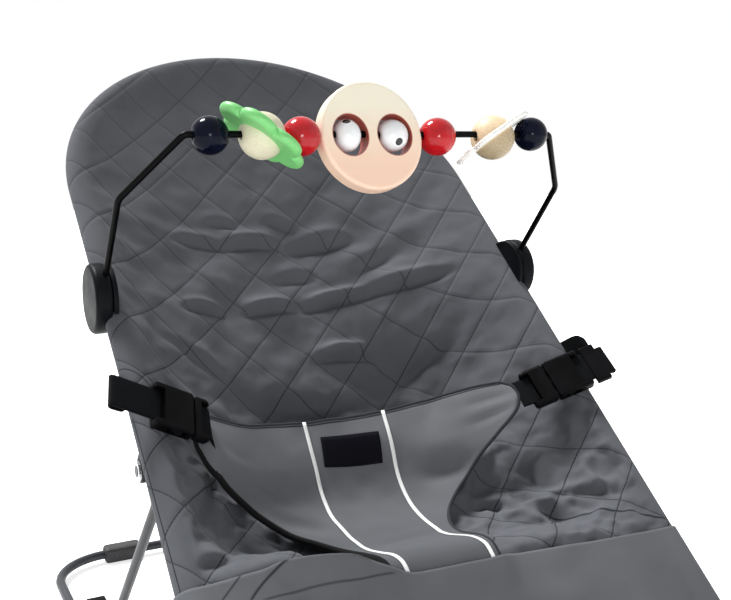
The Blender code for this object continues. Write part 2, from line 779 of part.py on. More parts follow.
def foot_panel():
    """The plain lower panel from the seam down to its hem on the hinge rod."""
    low = S_HINGE + ROD_RADIUS + GAP + HEM_WALL + SOFT_GAP

    def spot(u, v):
        s = low + (FOOT_PANEL_TOP - low) * v
        x = (2 * u - 1) * foot_panel_half(s)
        return seat_point(x, s, foot_panel_height(x, s))

    return draped("foot_panel", 18, 12, spot, FOOT_PANEL_THICKNESS, PLAIN)


def foot_hem():
    """The hem of the foot panel round the hinge rod."""
    half = TUBE_X - EAR_OUTER - GAP
    inner = ROD_RADIUS + GAP
    outer = inner + HEM_WALL
    profile = [(outer, half), (outer, -half), (inner, -half), (inner, half)]
    home = Matrix.Translation((0, HINGE_Y, HINGE_HEIGHT)) @ ALONG_X
    return turned("foot_hem", profile, PLAIN, home, 20)


# Crotch panel

def panel_height(x, s):
    """The crotch panel's upper face above the seat plane."""
    middle = between([(row[0], row[3]) for row in PANEL_ROWS], s)
    share = min(1.0, abs(x - PANEL_MIDDLE) / PANEL_HALF)
    edge = max(-PANEL_END_DROP, middle)
    return edge + (middle - edge) * (1 - share ** PANEL_POWER)


def on_panel(x, s, above):
    return seat_point(x, s, panel_height(x, s) + above)


def panel_across(s, share):
    """The place across the seat at a share of the panel's width, from its left edge."""
    left = between([(row[0], row[1]) for row in PANEL_ROWS], s) - TUBE_X
    right = TUBE_X - between([(row[0], row[2]) for row in PANEL_ROWS], s)
    return left + (right - left) * share


def crotch_panel():
    """The panel between the legs: two ends that take the straps and a stem sewn to the foot panel."""
    last = len(PANEL_ROWS) - 1

    def spot(u, v):
        row = last - round(v * last)
        s = PANEL_ROWS[row][0]
        x = panel_across(s, u)
        bow = PANEL_TOP_BOW * max(0.0, 1 - row / 3) * (1 - ((x - PANEL_MIDDLE) / PANEL_HALF) ** 2)
        return on_panel(x, s + bow, 0.0)

    return draped("crotch_panel", 16, last, spot, PANEL_THICKNESS, PLAIN)


def stripe(name, column):
    """White ribbon sewn down the panel, at the shares in a column of the panel's rows."""
    stations = [row[0] for row in reversed(PANEL_ROWS)]
    stations[-1] += PANEL_TOP_BOW * 0.8

    def spot(u, v):
        s = stations[round(v * (len(stations) - 1))]
        share = between([(row[0], row[column]) for row in PANEL_ROWS], s)
        return on_panel(panel_across(s, share) + (u - 0.5) * STRIPE_WIDTH, s, GAP + STRIPE_THICKNESS + STRIPE_LIFT)

    return draped(name, 1, len(stations) - 1, spot, STRIPE_THICKNESS, WHITE_RIBBON)


def label_patch():
    """A small bare cloth label."""
    def spot(u, v):
        x = LABEL_X + (u - 0.5) * LABEL_WIDTH
        s = LABEL_STATION + (v - 0.5) * LABEL_HEIGHT
        return on_panel(x, s, GAP + LABEL_THICKNESS + 0.0004)

    return draped("label_patch", 6, 3, spot, LABEL_THICKNESS, LABEL_CLOTH)


# Harness

def strap_home(strap):
    """A frame over the side tube: X inward along the strap, Y across it, Z away from the seat."""
    side = strap["side"]
    turn = math.pi + strap["slant"] if side > 0 else -strap["slant"]
    return (
        seat_frame(side * TUBE_X, strap["station"], strap["height"])
        @ Matrix.Rotation(turn, 4, "Z")
        @ Matrix.Rotation(strap["tilt"], 4, "Y")
    )


def plug_start(strap):
    return strap["start"] + SOCKET_LENGTH + GAP


def band(name, pairs, material):
    """Webbing through pairs of points, one pair across it at each station."""
    bm = bmesh.new()
    rails = [[bm.verts.new(point) for point in rail] for rail in zip(*pairs)]
    for k in range(len(pairs) - 1):
        bm.faces.new((rails[0][k], rails[0][k + 1], rails[1][k + 1], rails[1][k]))
    mesh = bpy.data.meshes.new(name)
    bm.to_mesh(mesh)
    bm.free()
    mesh.shade_smooth()
    thing = place(name, mesh, material)
    solid = thing.modifiers.new("thickness", "SOLIDIFY")
    solid.thickness = WEBBING_THICKNESS
    solid.offset = 0.0
    solid.use_even_offset = True
    return thing


def loop_offsets():
    """The strap's loop round the side tube: distance outward from the tube's centre and height."""
    under = SLEEVE_RADIUS + SOFT_GAP + WEBBING_THICKNESS
    return [
        (-0.009, -under - 0.0004), (0.002, -under - 0.0004), (0.0115, -under + 0.0012),
        (0.0185, -0.0062), (0.0222, -0.0015),
    ]


def webbing(name, strap, outer_end):
    """The strap: sewn under the tube, round it with some slack and into the buckle."""
    home = strap_home(strap)
    side = strap["side"]
    half = WEBBING_WIDTH / 2
    pairs = []
    loop = loop_offsets()
    at_end = home @ Vector((outer_end, 0.0, 0.0))
    end_s = (seat_frame(0, 0).inverted() @ at_end).y
    for k, (outward, height) in enumerate(loop):
        s = strap["under"] + (end_s - strap["under"]) * k / len(loop)
        x = side * (TUBE_X + outward)
        pairs.append([seat_point(x, s + half, height), seat_point(x, s - half, height)])
    flip = -side
    for x, z in ((outer_end, -0.0032), (outer_end + 0.0022, -0.0004), (outer_end + 0.0055, 0.0)):
        pairs.append([home @ Vector((x, -flip * half * -1, z)), home @ Vector((x, flip * half * -1, z))])
    end = strap["start"] + 0.007
    pairs.append([home @ Vector((end, flip * half, 0.0)), home @ Vector((end, -flip * half, 0.0))])
    return band(name, pairs, WEBBING)


def keeper(name, home, low, high, height, roundness):
    """A flat plastic loop that the webbing passes through."""
    body = box(
        name, (low, -BUCKLE_WIDTH / 2, -height / 2), (high, BUCKLE_WIDTH / 2, height / 2),
        PLASTIC, home, roundness,
    )
    slot_width = WEBBING_WIDTH / 2 + SOFT_GAP
    slot_height = WEBBING_THICKNESS / 2 + SOFT_GAP
    slot = box(
        name + "_slot", (low - 0.01, -slot_width, -slot_height), (high + 0.01, slot_width, slot_height),
        matrix=home, cutter=True,
    )
    return cut(body, slot)


def webbing_recess(name, home, low, high):
    """The open recess in a buckle's end where the webbing lies over its bar."""
    half = WEBBING_WIDTH / 2 + SOFT_GAP
    floor = -WEBBING_THICKNESS / 2 - GAP
    return box(name, (low, -half, floor), (high, half, 0.02), matrix=home, cutter=True)


def buckle_socket(name, strap):
    """Side-release socket: an open mouth for the plug and a window each side for the latches."""
    home = strap_home(strap)
    low = strap["start"]
    high = low + SOCKET_LENGTH
    half, rise = BUCKLE_WIDTH / 2, BUCKLE_THICKNESS / 2
    body = box(name, (low, -half, -rise), (high, half, rise), PLASTIC, home, 0.002)
    mouth_low = low + SOCKET_MOUTH
    inside = rise - SOCKET_WALL
    mouth = box(
        name + "_mouth", (mouth_low, -half + LATCH_WALL, -inside), (high + 0.01, half - LATCH_WALL, inside),
        matrix=home, cutter=True,
    )
    windows = box(
        name + "_windows", (mouth_low + 0.003, -half - 0.01, -inside), (high - 0.006, half + 0.01, inside),
        matrix=home, cutter=True,
    )
    recess = webbing_recess(name + "_recess", home, low - 0.01, low + 0.0075)
    return cut(body, mouth, windows, recess)


def buckle_plug(name, strap):
    """The plug: its webbing end, its middle tongue and a pocket for the root of each latch."""
    home = strap_home(strap)
    low = plug_start(strap)
    high = low + strap["plug"]
    half, rise = BUCKLE_WIDTH / 2, BUCKLE_THICKNESS / 2
    body = box(name, (low, -half, -rise * 0.9), (high, half, rise * 0.9), PLASTIC, home, 0.003)
    inside = rise - SOCKET_WALL - GAP
    tongue = box(
        name + "_tongue", (low - 0.020, -PLUG_TONGUE / 2, -inside), (low + 0.003, PLUG_TONGUE / 2, inside),
        matrix=home, cutter=True,
    )
    outer = half - LATCH_WALL
    inner = outer - LATCH_WIDTH - 3 * GAP
    pockets = []
    for k, sign in enumerate((-1, 1)):
        side_low, side_high = sorted((sign * inner, sign * outer))
        pockets.append(
            box(
                name + "_pocket_" + str(k), (low - 0.01, side_low, -inside - GAP), (low + 0.0045, side_high, inside + GAP),
                matrix=home, cutter=True,
            )
        )
    recess = webbing_recess(name + "_recess", home, high - 0.0075, high + 0.01)
    join(body, tongue)
    return cut(body, *pockets, recess)


def latch_root(strap, sign):
    """Where a latch arm bends, in the buckle's frame."""
    y = BUCKLE_WIDTH / 2 - LATCH_WALL - GAP - LATCH_WIDTH / 2
    return Vector((plug_start(strap) + 0.0045 - GAP - LATCH_WIDTH / 2, sign * y, 0.0))


def latch_arm(name, strap, sign):
    """One springy arm of the plug, its thumb pad standing in the socket's window."""
    root = latch_root(strap, sign)
    half = LATCH_WIDTH / 2
    outline = []
    for k in range(7):
        angle = math.radians(-90.0 + 180.0 * k / 6)
        outline.append((half * math.cos(angle), half * math.sin(angle)))
    top = BUCKLE_WIDTH / 2 - 0.0004 - abs(root.y)
    outline += [
        (-0.0095, half), (-0.0112, top), (-0.0150, top), (-LATCH_LENGTH, half * 0.6), (-LATCH_LENGTH, -half),
    ]
    outline = [(x, sign * y) for x, y in outline]
    if sign < 0:
        outline.reverse()
    inside = BUCKLE_THICKNESS / 2 - SOCKET_WALL - GAP
    home = strap_home(strap)
    arm = plate(name, [outline], 2 * inside, PLASTIC, home @ Matrix.Translation(root))
    return pin_on(name + "_pivot", [arm], home @ root)


def panel_tab(name, strap):
    """Webbing from the plug to the panel's end."""
    home = strap_home(strap)
    side = strap["side"]
    station = PANEL_ROWS[2][0]
    edge = panel_across(station, 1.0 if side > 0 else 0.0)
    corner = home.inverted() @ on_panel(edge, station, -PANEL_THICKNESS / 2)
    plug_end = plug_start(strap) + strap["plug"]
    half = WEBBING_WIDTH / 2 - SOFT_GAP
    pairs = []
    for x in (plug_end - 0.0070, plug_end + 0.0005):
        pairs.append([home @ Vector((x, -half, 0.0)), home @ Vector((x, half, 0.0))])
    out = side * PANEL_TAB_GAP
    ends = [on_panel(edge + out, station + sign * half, -PANEL_THICKNESS / 2) for sign in (1, -1)]
    pairs.append(ends[::side])
    return band(name, pairs, WEBBING)


def harness(side_name, strap):
    parts = [
        webbing("webbing_" + side_name, strap, strap["reach"]),
        buckle_socket("buckle_socket_" + side_name, strap),
        buckle_plug("buckle_plug_" + side_name, strap),
        panel_tab("panel_webbing_" + side_name, strap),
    ]
    for place_name, sign in (("upper", -strap["side"]), ("lower", strap["side"])):
        parts.append(latch_arm("latch_arm_" + side_name + "_" + place_name, strap, sign))
    return parts


# Rear leg

def leg_lug(name, sign):
    """Plastic saddle under the side tube that carries the leg's pivot."""
    home = seat_frame(sign * TUBE_X, LEG_STATION)
    inner = LEG_LUG_INNER - TUBE_X
    low, high = sorted((sign * inner, sign * (inner + LEG_LUG_WIDTH)))
    lug = box(
        name, (low, -LEG_LUG_RADIUS, -LEG_DROP), (high, LEG_LUG_RADIUS, -SLEEVE_RADIUS + 0.0008), PLASTIC, home
    )
    turn = seat_frame(sign * TUBE_X, LEG_STATION, -LEG_DROP) @ ALONG_X
    end = cylinder(name + "_end", LEG_LUG_RADIUS, low, high, matrix=turn, sides=16, cutter=True)
    hole = cylinder(name + "_hole", LEG_WIRE + GAP, -0.03, 0.03, matrix=turn, sides=16, cutter=True)
    saddle = cylinder(
        name + "_saddle", SLEEVE_RADIUS + GAP, -0.03, 0.03, matrix=home @ ALONG_Y, sides=24, cutter=True
    )
    join(lug, end)
    return cut(lug, hole, saddle)


def support_leg():
    """The U-shaped rear leg, its ends turned outward through the lugs."""
    y, z = leg_pivot()
    foot = leg_foot_y()
    outer = LEG_LUG_INNER + LEG_LUG_WIDTH + NUT_THICKNESS + 2 * GAP
    right = [(LEG_FOOT_X, foot, LEG_FOOT_Z), (LEG_TOP_X, y, z), (outer, y, z)]
    left = [(-px, py, pz) for px, py, pz in reversed(right)]
    radii = [0.007, 0.012, 0.012, 0.007]
    return wire("support_leg", rounded(left + right, radii), LEG_WIRE, FRAME_PAINT, 2)


def leg_nut(name, sign):
    """Push nut on the leg's end."""
    y, z = leg_pivot()
    face = LEG_LUG_INNER + LEG_LUG_WIDTH + GAP
    inner = LEG_WIRE + GAP
    high, low = face + NUT_THICKNESS, face
    if sign < 0:
        high, low = -low, -high
    profile = [(NUT_RADIUS, high), (NUT_RADIUS, low), (inner, low), (inner, high)]
    return turned(name, profile, STEEL, Matrix.Translation((0, y, z)) @ ALONG_X, 20)


# Toy bar

def toy_axis():
    return seat_point(0.0, TOY_STATION)


def clamp_jaw(name, sign):
    """The half of a clamp that grips the covered tube, with the spigot that the hub turns on."""
    home = seat_frame(0.0, TOY_STATION)
    low, high = sorted((sign * (TUBE_X - JAW_INSET), sign * JAW_OUTER))
    jaw = cylinder(name, CLAMP_RADIUS, low, high, CLAMP_PLASTIC, home @ ALONG_X, 28, 0.0015)
    spigot_low, spigot_high = sorted((sign * (JAW_OUTER - 0.0012), sign * (JAW_OUTER + SPIGOT_LENGTH)))
    spigot = cylinder(
        name + "_spigot", SPIGOT_RADIUS, spigot_low, spigot_high, matrix=home @ ALONG_X, sides=16, cutter=True
    )
    bore = cylinder(
        name + "_bore", SLEEVE_RADIUS + GAP, -0.05, 0.05,
        matrix=seat_frame(sign * TUBE_X, TOY_STATION) @ ALONG_Y, sides=28, cutter=True,
    )
    join(jaw, spigot)
    return cut(jaw, bore)


def clamp_hub(name, sign):
    """The turning half of a clamp, drilled for the spigot and for the end of the toy wire."""
    home = seat_frame(0.0, TOY_STATION)
    inner, outer = HUB_INNER, HUB_OUTER
    edge = 0.0035
    low, high = sorted((sign * inner, sign * outer))
    hub = cylinder(name, CLAMP_RADIUS, low, high, CLAMP_PLASTIC, home @ ALONG_X, 28)
    round_edges(hub, edge, 2)
    well_low, well_high = sorted((sign * (inner - 0.005), sign * (JAW_OUTER + SPIGOT_LENGTH + GAP)))
    well = cylinder(
        name + "_well", SPIGOT_RADIUS + GAP, well_low, well_high, matrix=home @ ALONG_X, sides=16, cutter=True
    )
    hole = cylinder(
        name + "_hole", TOY_WIRE + GAP, SPIGOT_RADIUS + 0.0015, 0.06,
        matrix=seat_frame(sign * TOY_FOOT_X, TOY_STATION), sides=16, cutter=True,
    )
    return cut(hub, well, hole)


def toy_wire():
    """The bent wire that carries the toys."""
    right = [
        (TOY_BAR_X, TOY_HEIGHT), (TOY_BEND_X, TOY_BEND_HEIGHT), (TOY_FOOT_X, CLAMP_RADIUS + 0.003),
        (TOY_FOOT_X, SPIGOT_RADIUS + 0.0018),
    ]
    left = [(-x, n) for x, n in reversed(right)]
    corners = [seat_point(x, TOY_STATION, n) for x, n in left + right]
    radii = [0.006, TOY_BEND_RADIUS, TOY_BEND_RADIUS, TOY_BEND_RADIUS, TOY_BEND_RADIUS, 0.006]
    return wire("toy_wire", rounded(corners, radii), TOY_WIRE, TOY_WIRE_PAINT, 2)


def toy_centre(x):
    return seat_point(x, TOY_STATION, TOY_HEIGHT)


def bead(name, x, radius, material, half_width=None, rings=7, steps=18):
    """A drilled ball on the toy wire, flattened a little where the wire enters."""
    half_width = radius if half_width is None else half_width
    bore = TOY_WIRE + BEAD_PLAY
    flat = half_width - POLE_CUT
    start = math.acos(flat / half_width)
    profile = []
    for k in range(rings + 1):
        angle = start + (math.pi - 2 * start) * k / rings
        profile.append((radius * math.sin(angle), half_width * math.cos(angle)))
    profile += [(bore, -flat), (bore, flat)]
    return turned(name, profile, material, Matrix.Translation(toy_centre(x)) @ ALONG_X, steps)


def flower_outline():
    """A ring of round petals."""
    points = []
    for k in range(FLOWER_LOBES * 6):
        angle = 2 * math.pi * k / (FLOWER_LOBES * 6)
        radius = FLOWER_RADIUS + FLOWER_LOBE_DEPTH * (abs(math.cos(FLOWER_LOBES * angle / 2)) * 2 - 1)
        points.append((radius * math.cos(angle), radius * math.sin(angle)))
    return points


def flower(name, x, normal, thickness, material):
    """A petalled disc fixed round a ball, tilted as it is drilled."""
    turn = normal.normalized().to_track_quat("Z", "Y").to_matrix().to_4x4()
    home = Matrix.Translation(toy_centre(x)) @ turn
    disc = plate(name, [flower_outline()], thickness, material, home)
    round_edges(disc, 0.0016, 2, 50.0)
    hole = cylinder(name + "_hole", BALL_RADIUS + GAP, -0.02, 0.02, matrix=home, sides=28, cutter=True)
    return cut(disc, hole)


def face_disc():
    """The round face with two eye holes, threaded on the bar edgewise."""
    upright = Matrix.Rotation(math.radians(90.0) - FACE_TILT, 4, "X")
    home = Matrix.Translation(toy_centre(FACE_X)) @ upright
    disc = cylinder("face_disc", FACE_RADIUS, -FACE_THICKNESS / 2, FACE_THICKNESS / 2, FACE, home, 36)
    round_edges(disc, FACE_ROUNDING, 2)
    cutters = []
    for name, sign in (("left", -1), ("right", 1)):
        hole_home = home @ Matrix.Translation((sign * EYE_HOLE_OFFSET, 0, 0))
        cutters.append(
            cylinder("eye_hole_" + name, EYE_HOLE_RADIUS, -0.03, 0.03, matrix=hole_home, sides=28, cutter=True)
        )
    cutters.append(
        cylinder("face_bore", TOY_WIRE + BEAD_PLAY, -0.06, 0.06, matrix=home @ ALONG_X, sides=16, cutter=True)
    )
    return cut(disc, *cutters)


def toys():
    """Each toy on the bar with the pieces fixed to it, and its place across the seat."""
    ball_left = bead("ball_left", BALL_LEFT_X, BALL_RADIUS, CREAM, rings=8, steps=20)
    ball_right = bead("ball_right", BALL_RIGHT_X, BALL_RADIUS, NATURAL, rings=8, steps=20)
    return {
        "blue_bead_left": (-BLUE_X, [bead("blue_bead_left", -BLUE_X, BLUE_RADIUS, NAVY)]),
        "flower_ball": (
            BALL_LEFT_X,
            [ball_left, flower("flower_disc", BALL_LEFT_X, FLOWER_NORMAL, FLOWER_THICKNESS, GREEN)],
        ),
        "red_bead_left": (RED_LEFT_X, [bead("red_bead_left", RED_LEFT_X, RED_RADIUS, RED)]),
        "face": (FACE_X, [face_disc()]),
        "eye_left": (
            EYE_LEFT_X, [bead("eye_left", EYE_LEFT_X, EYE_RADIUS, EYE_WHITE, EYE_HALF_WIDTH)],
        ),
        "eye_right": (
            EYE_RIGHT_X, [bead("eye_right", EYE_RIGHT_X, EYE_RADIUS, EYE_WHITE, EYE_HALF_WIDTH)],
        ),
        "red_bead_right": (RED_RIGHT_X, [bead("red_bead_right", RED_RIGHT_X, RED_RADIUS, RED)]),
        "pale_ball": (
            BALL_RIGHT_X,
            [ball_right, flower("pale_disc", BALL_RIGHT_X, PALE_NORMAL, PALE_THICKNESS, PALE)],
        ),
        "blue_bead_right": (BLUE_X, [bead("blue_bead_right", BLUE_X, BLUE_RADIUS, NAVY)]),
    }


def build():
    base_frame()
    foot_pads()
    hinge_rod()
    for side, sign in (("left", -1), ("right", 1)):
        hinge_block("hinge_block_" + side, sign)
        position_rack("position_rack_" + side, sign)

    seat = [seat_tube(), cover_sleeve(), seat_cover(), foot_panel(), foot_hem(), crotch_panel(), label_patch()]
    for side, sign in (("left", -1), ("right", 1)):
        seat.append(seat_lug("seat_lug_" + side, sign))
        seat.append(leg_lug("leg_lug_" + side, sign))
        seat.append(clamp_jaw("clamp_jaw_" + side, sign))
    seat += [stripe("stripe_left", 4), stripe("stripe_right", 5)]
    seat += harness("left", LEFT_STRAP)
    seat += harness("right", RIGHT_STRAP)
    seat.append(
        keeper("strap_keeper", strap_home(RIGHT_STRAP), KEEPER_START, KEEPER_START + KEEPER_LENGTH, 0.005, 0.0012)
    )

    leg = [support_leg()]
    arch = [toy_wire()]
    for side, sign in (("left", -1), ("right", 1)):
        leg.append(leg_nut("leg_nut_" + side, sign))
        arch.append(clamp_hub("clamp_hub_" + side, sign))
    leg_y, leg_z = leg_pivot()
    seat.append(pin_on("leg_pivot", leg, (0, leg_y, leg_z)))
    for name, (x, pieces) in toys().items():
        arch.append(pin_on(name + "_axle", pieces, toy_centre(x)))
    seat.append(pin_on("toy_pivot", arch, toy_axis()))
    pin_on("seat_pivot", seat, (0, HINGE_Y, HINGE_HEIGHT))


build()
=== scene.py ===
"""Looks of the baby rocker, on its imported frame.

Metres, +Z up. X runs across the seat, -Y is the foot end and +Y the head end. Places on the seat are
given as X across it, S along it from the centre of the head arch, and N away from it.
"""

import json
import math

import bmesh
import bpy
from mathutils import Matrix, Vector, noise


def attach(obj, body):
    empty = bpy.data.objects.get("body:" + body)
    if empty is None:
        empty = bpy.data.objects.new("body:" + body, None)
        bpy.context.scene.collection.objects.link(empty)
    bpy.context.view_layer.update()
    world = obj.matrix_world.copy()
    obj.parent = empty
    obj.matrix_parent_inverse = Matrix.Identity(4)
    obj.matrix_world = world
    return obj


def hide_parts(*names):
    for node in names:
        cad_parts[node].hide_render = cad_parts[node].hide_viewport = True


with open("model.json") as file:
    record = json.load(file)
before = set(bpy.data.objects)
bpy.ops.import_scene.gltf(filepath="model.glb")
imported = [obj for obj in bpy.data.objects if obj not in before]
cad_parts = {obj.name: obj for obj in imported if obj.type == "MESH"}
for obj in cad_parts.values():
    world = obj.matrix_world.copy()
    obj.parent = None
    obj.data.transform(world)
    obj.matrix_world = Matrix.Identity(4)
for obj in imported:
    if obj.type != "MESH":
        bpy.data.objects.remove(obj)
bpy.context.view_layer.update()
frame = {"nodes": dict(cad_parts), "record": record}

# The seat, as in the part's source
SEAT_TILT = math.radians(39.34)
FOOT_TILT = math.radians(20.0)
BEND_RADIUS = 0.245
S_BEND = -0.4599
S_BEND_END = S_BEND - BEND_RADIUS * (SEAT_TILT - FOOT_TILT)
HINGE = Vector((0.0, -0.325, 0.095))
LUG_REACH = 0.0369
S_HINGE = S_BEND_END - LUG_REACH
TUBE_X = 0.185
SLEEVE = 0.0080
SLEEVE_GAIN = 0.0026
COVER_HALF, COVER_REST = 0.1754, 0.0035
CLOTH_THICK = 0.0016
SAG = (
    (0.180, 0.000), (0.060, 0.020), (-0.060, 0.045), (-0.160, 0.066), (-0.250, 0.076), (-0.310, 0.072),
    (-0.350, 0.046), (-0.385, 0.016), (-0.430, 0.003),
)

# Quilting: one crossing of the seams, half a diamond's width and length, the sheet's steps in that half,
# the seams' spacing and their stitches
QUILT_X, QUILT_S = -0.1479, -0.0628
QUILT_WIDE, QUILT_LONG = 0.0281, 0.0280
CELLS = 8
SEAM_SPACING, STITCH = 0.0397, 0.0030

PANEL_TOP, PANEL_LOW = -0.2350, -0.4035

# Toys: where their wire runs, its bore through them, and each one's place and sag on it
TOY_STATION, TOY_HEIGHT = -0.121, 0.1606
WIRE_BORE = 0.0029
FLOWER_X, FLOWER_SAG = -0.0962, 0.0010
PALE_X, PALE_SAG = 0.0979, 0.0026
FACE_X, FACE_SAG, FACE_LEAN = -0.0117, 0.0024, math.radians(18.0)
EYE_HOLE_X, EYE_HOLE, EYE_OVAL = 0.0182, 0.0157, 0.91
EYE_RADIUS, EYE_SAG, PUPIL = 0.0122, 0.0012, 0.0031
PALE_NORMAL = Vector((-0.467, 0.387, 0.795))
FLOWER_NORMAL = Vector((-0.617, -0.067, -0.784))


def srgb(red, green, blue):
    """A colour read on screen, from 0 to 255, as the linear one that a shader takes."""
    def linear(value):
        value /= 255.0
        return value / 12.92 if value <= 0.04045 else ((value + 0.055) / 1.055) ** 2.4

    return linear(red), linear(green), linear(blue)


# Places on the seat

def seat_profile(s):
    """Height and place along Y of a place on the seat, and the seat's slope there."""
    bend_y = HINGE.y + LUG_REACH * math.cos(FOOT_TILT)
    bend_z = HINGE.z + LUG_REACH * math.sin(FOOT_TILT)
    if s <= S_BEND_END:
        on = s - S_BEND_END
        return bend_y + on * math.cos(FOOT_TILT), bend_z + on * math.sin(FOOT_TILT), FOOT_TILT
    slope = min(SEAT_TILT, FOOT_TILT + (s - S_BEND_END) / BEND_RADIUS)
    y = bend_y + BEND_RADIUS * (math.sin(slope) - math.sin(FOOT_TILT))
    z = bend_z + BEND_RADIUS * (math.cos(FOOT_TILT) - math.cos(slope))
    on = max(0.0, s - S_BEND)
    return y + on * math.cos(SEAT_TILT), z + on * math.sin(SEAT_TILT), slope


def seat_point(x, s, n=0.0):
    y, z, slope = seat_profile(s)
    return Vector((x, y - n * math.sin(slope), z + n * math.cos(slope)))


def seat_frame(x, s, n=0.0):
    """A frame with X across the seat, Y up along it and Z away from it."""
    return Matrix.Translation(seat_point(x, s, n)) @ Matrix.Rotation(seat_profile(s)[2], 4, "X")


ALONG_X = Matrix.Rotation(math.radians(90.0), 4, "Y")
ALONG_Y = Matrix.Rotation(math.radians(-90.0), 4, "X")


def on_wire(x, sag=0.0):
    """A place on the toy bar's wire, or as far below its centre as a toy sags."""
    return seat_point(x, TOY_STATION, TOY_HEIGHT) - Vector((0, 0, sag))


FACE_MIDDLE = on_wire(FACE_X, FACE_SAG)


def smooth_between(stations, at):
    """The value at a place, on a smooth curve through (place, value) pairs."""
    pairs = sorted(stations)
    if at <= pairs[0][0]:
        return pairs[0][1]
    if at >= pairs[-1][0]:
        return pairs[-1][1]
    k = next(i for i in range(len(pairs) - 1) if at <= pairs[i + 1][0])

    def slope(i):
        low, high = max(0, i - 1), min(len(pairs) - 1, i + 1)
        return (pairs[high][1] - pairs[low][1]) / (pairs[high][0] - pairs[low][0])

    step = pairs[k + 1][0] - pairs[k][0]
    t = (at - pairs[k][0]) / step
    first = pairs[k][1] * (1 + 2 * t) * (1 - t) ** 2 + slope(k) * step * t * (1 - t) ** 2
    return first + pairs[k + 1][1] * t * t * (3 - 2 * t) + slope(k + 1) * step * t * t * (t - 1)


def bell(value, middle, spread):
    return math.exp(-((value - middle) / spread) ** 2)


def ease(value, low, high):
    """0 below low, 1 above high and smooth in between."""
    t = min(1.0, max(0.0, (value - low) / (high - low)))
    return t * t * (3 - 2 * t)


def uneven(x, s, across, along, layer):
    """Smooth unevenness from -1 to 1, finer where across and along are larger, and its own in each layer."""
    return noise.noise(Vector((x * across, s * along, layer)))


def higher(a, b, soft):
    """The larger of two heights, with the corner between them rounded."""
    return max(a, b) + max(soft - abs(a - b), 0.0) ** 2 / (4 * soft)


# Making pieces

ARC_STEP = math.radians(6.0)


def add(name, data, material=None):
    """Puts a mesh, curve, lamp or camera into the scene."""
    thing = bpy.data.objects.new(name, data)
    bpy.context.scene.collection.objects.link(thing)
    if material is not None:
        data.materials.append(material)
    return thing


def from_bmesh(name, bm, material=None, angle=40.0):
    bmesh.ops.recalc_face_normals(bm, faces=bm.faces)
    mesh = bpy.data.meshes.new(name)
    bm.to_mesh(mesh)
    bm.free()
    mesh.shade_smooth()
    mesh.set_sharp_from_angle(angle=math.radians(angle))
    return add(name, mesh, material)


def grid(name, across, along, spot, material, shape=None, flat=None):
    """A sheet whose points are spot(u, v), with its flat places in metres in the UV map.

    shape(bm) trims or moves the flat sheet first, and flat(u, v) gives the flat place where it isn't u, v.
    """
    columns, rows = len(across) - 1, len(along) - 1
    bm = bmesh.new()
    bmesh.ops.create_grid(bm, x_segments=columns, y_segments=rows, size=0.5)
    for vert in bm.verts:
        u = across[round((vert.co.x + 0.5) * columns)]
        v = along[round((vert.co.y + 0.5) * rows)]
        vert.co = (u, v, 0.0)
    if shape is not None:
        shape(bm)
    layer = bm.loops.layers.uv.new("flat")
    for face in bm.faces:
        for loop in face.loops:
            place = loop.vert.co.xy
            loop[layer].uv = place if flat is None else flat(*place)
    for vert in bm.verts:
        vert.co = spot(*vert.co.xy)
    mesh = bpy.data.meshes.new(name)
    bm.to_mesh(mesh)
    bm.free()
    mesh.shade_smooth()
    return add(name, mesh, material)


def flat_places(sheet):
    """The flat place of each point of a sheet, from its UV map."""
    layer = sheet.data.uv_layers["flat"].data
    places = [None] * len(sheet.data.vertices)
    for loop in sheet.data.loops:
        places[loop.vertex_index] = tuple(layer[loop.index].uv)
    return places


def steps(low, high, size):
    count = max(1, round((high - low) / size))
    return [low + (high - low) * k / count for k in range(count + 1)]


def solidify(thing, thickness, offset=-1.0):
    step = thing.modifiers.new("thickness", "SOLIDIFY")
    step.thickness = thickness
    step.offset = offset
    step.use_even_offset = True


def subdivide(thing):
    step = thing.modifiers.new("smooth", "SUBSURF")
    step.levels = step.render_levels = 1
    step.boundary_smooth = "PRESERVE_CORNERS"


def round_edges(thing, width, segments, angle=40.0):
    step = thing.modifiers.new("round", "BEVEL")
    step.width = width
    step.segments = segments
    step.limit_method = "ANGLE"
    step.angle_limit = math.radians(angle)


def apply_all(thing):
    """Replaces the mesh by what its modifiers make of it."""
    bpy.context.view_layer.update()
    graph = bpy.context.evaluated_depsgraph_get()
    shaped = thing.evaluated_get(graph)
    made = bpy.data.meshes.new_from_object(shaped, preserve_all_data_layers=True, depsgraph=graph)
    thing.modifiers.clear()
    thing.data = made
    return thing


def cut(thing, *cutters):
    """Cuts the cutters out of a piece for good and removes them."""
    for cutter in cutters:
        step = thing.modifiers.new("cut", "BOOLEAN")
        step.operation = "DIFFERENCE"
        step.solver = "EXACT"
        step.object = cutter
    apply_all(thing)
    for cutter in cutters:
        bpy.data.objects.remove(cutter, do_unlink=True)


def turned(name, profile, home, material, sides=64):
    """A body turned round the Z axis of its frame from a closed (radius, height) profile."""
    bm = bmesh.new()
    ring = [bm.verts.new((radius, 0.0, height)) for radius, height in profile]
    edges = [bm.edges.new(pair) for pair in zip(ring, ring[1:] + ring[:1])]
    bmesh.ops.spin(
        bm, geom=ring + edges, cent=(0, 0, 0), axis=(0, 0, 1), dvec=(0, 0, 0), angle=2 * math.pi,
        steps=sides, use_merge=True, use_duplicate=False,
    )
    bmesh.ops.remove_doubles(bm, verts=bm.verts, dist=0.000001)
    bmesh.ops.transform(bm, matrix=home, verts=bm.verts)
    return from_bmesh(name, bm, material)


